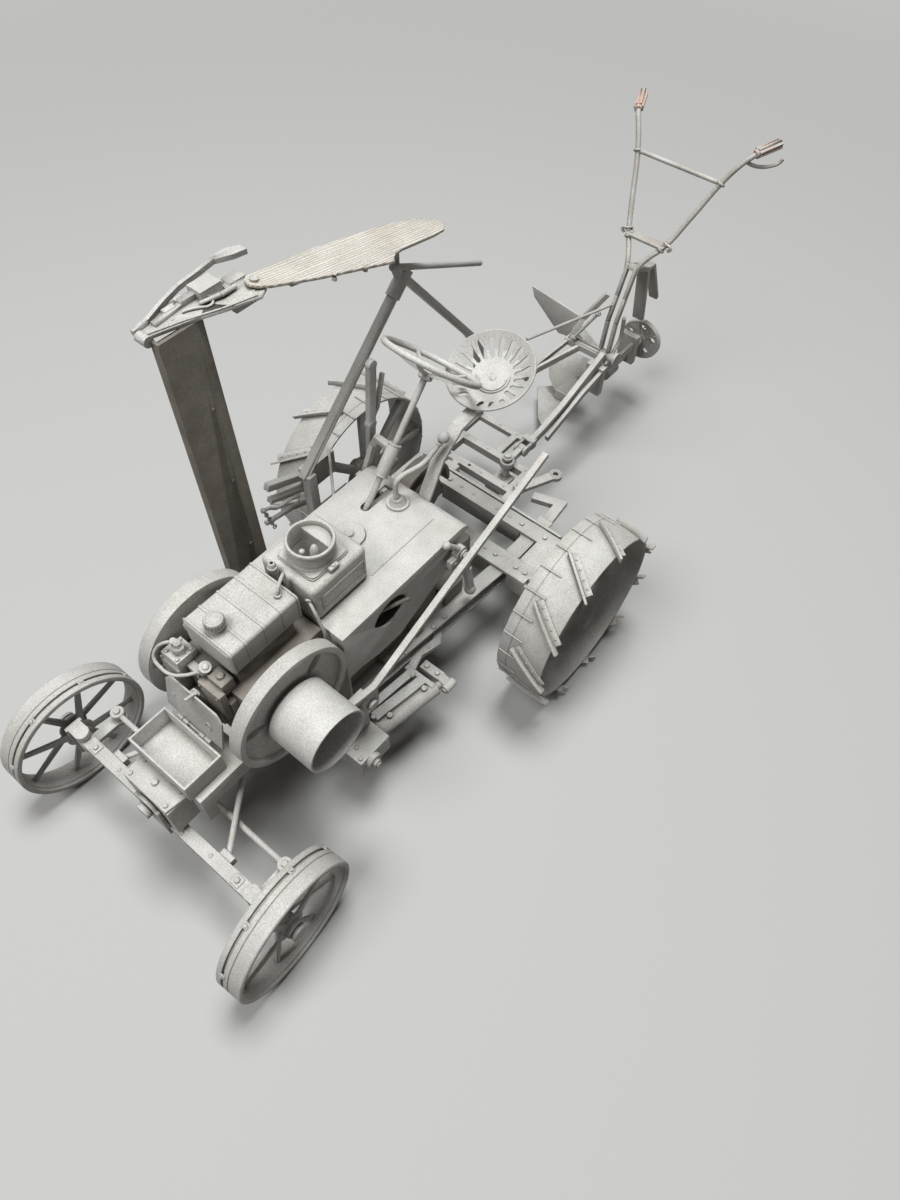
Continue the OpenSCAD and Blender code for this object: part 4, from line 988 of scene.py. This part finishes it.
# swath board
board = {
    "at": (70, 0, 249.7), "lean": -10, "thick": 1.6,
    "outline": [(-5, -59), (-7, -62.5), (-6, -66), (-3, -68.6), (3, -69.4), (43, -69.8), (80, -67),
                (92, -65.4), (104, -63), (110, -59.4), (113, -56), (115, -52), (113.4, -48), (110, -45.4),
                (100, -44.2), (76, -44), (70, -43.2), (66, -41), (62, -38), (23, -48), (0, -55.6)],
    "rivets": [(30, -45.8), (48, -43.2)],
}


def makeBoard():
    bm = bmesh.new()
    base = moved(*board["at"]) @ spin(board["lean"], "Y") @ Matrix.Scale(-1, 4, (1, 0, 0))
    addPlate(bm, board["outline"], 0, board["thick"], base)
    roundEdges(bm, 0.35, angle=50)
    for x, y in board["rivets"]:
        addDome(bm, 1.1, 0.6, base @ slid(x, y, board["thick"]))
        addRound(bm, 1.3, -1.4, 0, base @ slid(x, y, 0), sides=6)
    addBlock(bm, (10, -56, -1.5), (58, -53, 0.2), 0.3, base)
    piece = finishPiece("swathBoard", bm, "swath_board", angle=35)
    piece.data.materials[0] = woodGrainMetal("engravedBoard", finishes["board_metal"])


makeBoard()
print("handles and board made")

# seat
seatPan = {
    "at": (-24.5, 0, 174.2), "tilt": 21.9, "slots": 20, "slotWide": 1.55, "slotTo": 21.9, "slotFrom": 12.2,
    "shortFrom": 16.2, "short": 4, "thick": 0.8,
    "profile": [(0, -7.2), (9.6, -6.8), (16.4, -4.6), (21.4, -0.8), (23.4, 0.9), (24.6, 1.8), (25.1, 1.6),
                (25.3, 0.9)],
    "rings": (1.2, 5, 9.6, 11, 24, 24.6, 25.1, 25.3),
    "ridges": ((9.5, -6.35, -70, 120), (7.9, -6.75, -60, 110)),
    "slotSteps": (0, 0.12, 0.4, 0.8, 1.3), "between": {18, 19.4},
}


def dishHeight(radius):
    profile = seatPan["profile"]
    for (r0, z0), (r1, z1) in zip(profile, profile[1:]):
        if radius <= r1:
            return z0 + (z1 - z0) * (radius - r0) / (r1 - r0)
    return profile[-1][1]


def slotHalf(index, radius):
    if index % seatPan["slots"] == 0:
        return 0
    near = min(index, seatPan["slots"] - index) < seatPan["short"]
    start = seatPan["shortFrom"] if near else seatPan["slotFrom"]
    end, wide = seatPan["slotTo"], seatPan["slotWide"]
    if radius <= start or radius >= end:
        return 0
    inset = min(radius - start, end - radius, wide)
    return sqrt(wide ** 2 - (wide - inset) ** 2) * (0.8 + 0.2 * (radius - start) / (end - start))


def makeSeat():
    bm = bmesh.new()
    ends = seatPan["slotSteps"]
    radii = set(seatPan["rings"]) | {seatPan["slotTo"] - e for e in ends} | seatPan["between"]
    radii |= {start + e for e in ends for start in (seatPan["slotFrom"], seatPan["shortFrom"])}
    radii = sorted(radii)
    pitch = tau / seatPan["slots"]
    for index in range(seatPan["slots"]):
        rows = []
        for radius in radii:
            first = index * pitch + asin(slotHalf(index, radius) / radius)
            last = (index + 1) * pitch - asin(slotHalf(index + 1, radius) / radius)
            z = dishHeight(radius) * mm
            rows.append([bm.verts.new((radius * mm * cos(a), radius * mm * sin(a), z))
                         for a in (first + (last - first) * step / 4 for step in range(5))])
        for row, after in zip(rows, rows[1:]):
            for step in range(4):
                bm.faces.new((row[step], after[step], after[step + 1], row[step + 1]))
    bmesh.ops.remove_doubles(bm, verts=bm.verts, dist=2e-6)
    bmesh.ops.recalc_face_normals(bm, faces=bm.faces)
    bmesh.ops.solidify(bm, geom=bm.faces[:], thickness=seatPan["thick"] * mm)
    base = moved(*seatPan["at"]) @ spin(seatPan["tilt"], "Y")
    put(bm, bm.verts[:], base)
    for radius, z, start, end in seatPan["ridges"]:
        path = []
        for step in range(13):
            a = radians(start + (end - start) * step / 12)
            point = base @ Vector((radius * mm * cos(a), radius * mm * sin(a), z * mm))
            path.append((point.x / mm + shift, point.y / mm, point.z / mm))
        addTube(bm, path, 0.45)
    addDome(bm, 1.9, 1.0, base @ slid(0, 0, -7.3), sides=20)
    addRound(bm, 1.9, -8.8, -7.2, base)
    finishPiece("seatPan", bm, "seat", angle=35, finish="grey_metal")


makeSeat()
print("seat made")

# mower bar and shoe
shoe = {
    "plate": 249.6,
    "frame": [(89.4, -76.1), (82.9, -72.7), (83.7, -66.5), (90.7, -69.1)],
    "knob": (81.7, -75.4), "rim": [(125.4, -71.6), (108.4, -66.6), (93.4, -60.9), (77, -56.4)],
    "loop": [(92.6, -73.5, 250.2), (91.7, -70.1, 250.4), (93.2, -66.9, 250.3), (96.3, -65.9, 250.3),
             (99.6, -68.2, 250.3), (103.3, -70.4, 250.3), (106.5, -71.5, 250.2)],
    "blocks": [((106.5, -78.3, 249.4), (112.6, -75.2, 251.6)), ((99.6, -79.9, 249.4), (104.4, -77.2, 251.8))],
    "rivets": [(118, -73.4), (112, -71.4), (74.6, -64), (76, -60)],
}
seam = {"low": (107.15, -70.0, 82), "high": (107.65, -69.2, 246)}


def makeMower():
    bm = castingFrom("mower_shoe")
    roundEdges(bm, 0.4)
    z = shoe["plate"]
    corners = shoe["frame"]
    for a, b in zip(corners, corners[1:] + corners[:1]):
        addBar(bm, (*a, z + 0.25), (*b, z + 0.25), 1.3, 0.7, edge=0.2, across=up)
    addDome(bm, 1.5, 1.3, moved(*shoe["knob"], z))
    addTube(bm, shoe["loop"], 0.65)
    for low, high in shoe["blocks"]:
        addBlock(bm, low, high, 0.4)
    for a, b in zip(shoe["rim"], shoe["rim"][1:]):
        addBar(bm, (*a, z + 0.3), (*b, z + 0.3), 0.9, 0.9, edge=0.25, across=up)
    for x, y in shoe["rivets"]:
        addDome(bm, 0.8, 0.5, moved(x, y, z - 0.02))
    finishPiece("mowerShoe", bm, "mower_shoe", angle=38)
    bm = castingFrom("mower_bar")
    roundEdges(bm, 0.12)
    addBlock(bm, seam["low"], seam["high"], 0.1)
    finishPiece("mowerBar", bm, "mower_bar", angle=35)


makeMower()
print("mower made")

# index disc of the plough
disc = {
    "at": (-250, -13.5, 55.7), "rim": 16.5, "face": 3.0, "bead": 1.1,
    "holes": 5, "holeAt": 10.4, "hole": 2.4, "ribFrom": 4.6,
}


def makeDisc():
    bm = castingFrom("index_disc")
    roundEdges(bm, 0.3)
    base = moved(*disc["at"]) @ spin(90, "Y")
    rim, hole, face = disc["rim"], disc["hole"], disc["face"]
    bead = ringOf(rim - disc["bead"], 0.75, 0.5, 10, face)
    lathe(bm, bead, base, steps=72)
    lathe(bm, [(r, face - h) for r, h in bead], base, steps=72)
    lip = [(hole, 2.9), (hole + 0.8, 2.9), (hole + 0.6, 3.5), (hole, 3.5)]
    for i in range(disc["holes"]):
        turn = base @ turned(i, disc["holes"])
        lathe(bm, lip, turn @ slid(0, disc["holeAt"], 0), steps=24)
        turn = turn @ turned(0.5, disc["holes"])
        addBlock(bm, (-0.6, disc["ribFrom"], 2.9), (0.6, rim - 1.2, 3.7), 0.25, turn)
    finishPiece("indexDisc", bm, "index_disc", angle=38)


makeDisc()
print("plough disc made")

# gear cover, with its steering slot and seam, and painted shadows along the seam and round the tongue
cover = {
    "top": 128.0, "seamY": 18.6, "seamFrom": 46, "seamTo": 96, "tongue": (84, -8), "tongueWide": 8.5,
    "slotFrom": (44, -19), "slotTo": (66.5, -11), "slotHalf": 2.8, "sheet": 1.3,
}


def makeCover():
    bm = castingFrom("gear_cover")
    top = cover["top"]
    (x0, y0), (x1, y1) = cover["slotFrom"], cover["slotTo"]
    low, high = spot(x0 - 1, y0 - 1, top - 8), spot(x1 + 1, y1 + 1, top + 1)
    plain = [e for e in bm.edges if any(not low[i] < v.co[i] < high[i] for v in e.verts for i in range(3))]
    roundEdges(bm, 0.7, angle=50, edges=plain)
    half, middle = cover["slotHalf"], (y0 + y1) / 2
    bend = [(x1 - half + half * cos(a), middle + half * sin(a))
            for a in (pi * (0.5 - step / 16) for step in range(17))]
    lining = [(x0, y0 - 0.1), (x1 + 0.1, y0 - 0.1), (x1 + 0.1, y1 + 0.1), (x0, y1 + 0.1), (x0, middle + half)]
    fill = lining + bend + [(x0, middle - half)]
    addPlate(bm, fill, top - cover["sheet"], top - 0.02, moved(0, 0, 0))
    seamY, x0, x1 = cover["seamY"], cover["seamFrom"], cover["seamTo"]
    addBlock(bm, (x0, seamY - 0.2, top - 0.4), (x1, seamY + 0.2, top + 0.12), 0.08)
    addFittings(bm, "gear_cover")
    finishPiece("gearCover", bm, "gear_cover", angle=35)
    # painted shadows: a dark strip beside the seam bead and a dark ring round the tongue, standing for the
    # shade of their steps
    bm = bmesh.new()
    addBox(bm, (x0, seamY + 0.2, top - 0.3), (x1, seamY + 0.42, top + 0.05))
    at = standAt(*cover["tongue"], top)
    wide = cover["tongueWide"]
    inner, outer = wide - 0.2, wide + 0.55
    lathe(bm, [(inner, -0.2), (outer, -0.2), (outer, 0.06), (inner, 0.06)], at, steps=48)
    finishPiece("coverSeam", bm, "gear_cover", finish="shade_metal", standsFor=False)


makeCover()
print("cover made")

# blank plate on the hopper
plate = {"low": (99.8, 18.0, 134.6), "high": (129.6, 18.5, 145.4), "edge": 0.7, "proud": 0.35}


def makeHopper():
    bm = castingFrom("hopper")
    roundEdges(bm, 0.35)
    (x0, y0, z0), (x1, y1, z1) = plate["low"], plate["high"]
    addBlock(bm, plate["low"], plate["high"], 0.15)
    wide, y2 = plate["edge"], y1 + plate["proud"]
    for a, b, c, d in ((x0, z0, x1, z0 + wide), (x0, z1 - wide, x1, z1), (x0, z0, x0 + wide, z1),
                       (x1 - wide, z0, x1, z1)):
        addBlock(bm, (a, y1 - 0.1, b), (c, y2, d), 0.12)
    for x in (x0 + 2, x1 - 2):
        addDome(bm, 0.6, 0.4, standAt(x, y1, (z0 + z1) / 2, (0, 1, 0)), sides=10)
    addFittings(bm, "hopper")
    finishPiece("hopperCasting", bm, "hopper")


makeHopper()

# small hook and chain by the mower yoke
hook = {
    "lever": [(66.5, -68, 101), (74, -67, 105.4), (85.4, -66, 108.4), (90.4, -66, 112.4), (94.6, -66, 114)],
    "thick": 1.1, "links": 8, "from": (94.2, -66, 112.4), "to": (89.2, -66, 94.2), "loop": 1.15, "wire": 0.34,
}


def makeYoke():
    bm = castingFrom("mower_yoke")
    roundEdges(bm, 0.35)
    addTube(bm, hook["lever"], hook["thick"], sides=4)
    addBall(bm, hook["lever"][-1], 1.7, rings=8)
    start, end = Vector(hook["from"]), Vector(hook["to"])
    wire = ringOf(hook["loop"], hook["wire"], hook["wire"], 8)
    long = Matrix.Diagonal((1, 1, 1.35, 1)) @ spin(90, "X")
    for i in range(hook["links"]):
        place = start.lerp(end, (i + 0.5) / hook["links"])
        turn = standAt(*place, axis=(end - start), turn=90 * i)
        lathe(bm, wire, turn @ long, steps=16)
    finishPiece("moweryokeCasting", bm, "mower_yoke")


makeYoke()

# screw between the plough's two support bars
screw = {
    "from": (-185.4, -39.4, 80), "to": (-192.4, -25.4, 106), "core": 0.95, "crest": 1.35, "turns": 26,
    "nuts": (0.04, 0.93),
}


def makeBeam():
    bm = castingFrom("plough_beam")
    roundEdges(bm, 0.35)
    start, end = Vector(screw["from"]), Vector(screw["to"])
    addRod(bm, start, end, screw["core"], sides=16)
    core, crest = screw["core"], screw["crest"]
    thread = [(0.6, -0.42), (core, -0.4), (crest, 0), (core, 0.4), (0.6, 0.42)]
    for i in range(screw["turns"]):
        at = start.lerp(end, (i + 0.5) / screw["turns"])
        lathe(bm, thread, standAt(*at, axis=(end - start)), steps=14)
    for part in screw["nuts"]:
        nut = standAt(*start.lerp(end, part), axis=(end - start))
        soften(bm, addRound(bm, 2.3, -1, 1, nut, sides=6), 0.2)
    finishPiece("ploughbeamCasting", bm, "plough_beam")


makeBeam()
print("hopper, yoke and beam made")

# castings that keep their measured shape
done = {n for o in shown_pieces() for n in o.get("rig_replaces", [])}
edgeWidth = {
    "default": 0.35, "frame_bolts": 0.55, "toolbox": 0.2, "toolbox_lid": 0.15, "flywheel_left": 0.6,
    "flywheel_right": 0.6, "belt_pulley": 0.4, "front_bolster": 0.3,
}
flywheel = {"axle": (170.3, 0, 112.5), "turn": 50}
# painted shade: the engine block and gearbox sit in shadow between other parts, so they take the dark
# painted-shade finish
paintedShadeCastings = {"engine_block": "shade_metal", "gearbox": "shade_metal"}
for node in nodes:
    if node in done:
        continue
    bm = castingFrom(node)
    if node.startswith("flywheel"):
        turn = Matrix.Rotation(radians(flywheel["turn"]), 3, "Y")
        bmesh.ops.rotate(bm, cent=spot(*flywheel["axle"]), matrix=turn, verts=bm.verts)
    roundEdges(bm, edgeWidth.get(node, edgeWidth["default"]))
    addFittings(bm, node)
    finishPiece(node.replace("_", "") + "Casting", bm, node, finish=paintedShadeCastings.get(node))
print("castings finished")
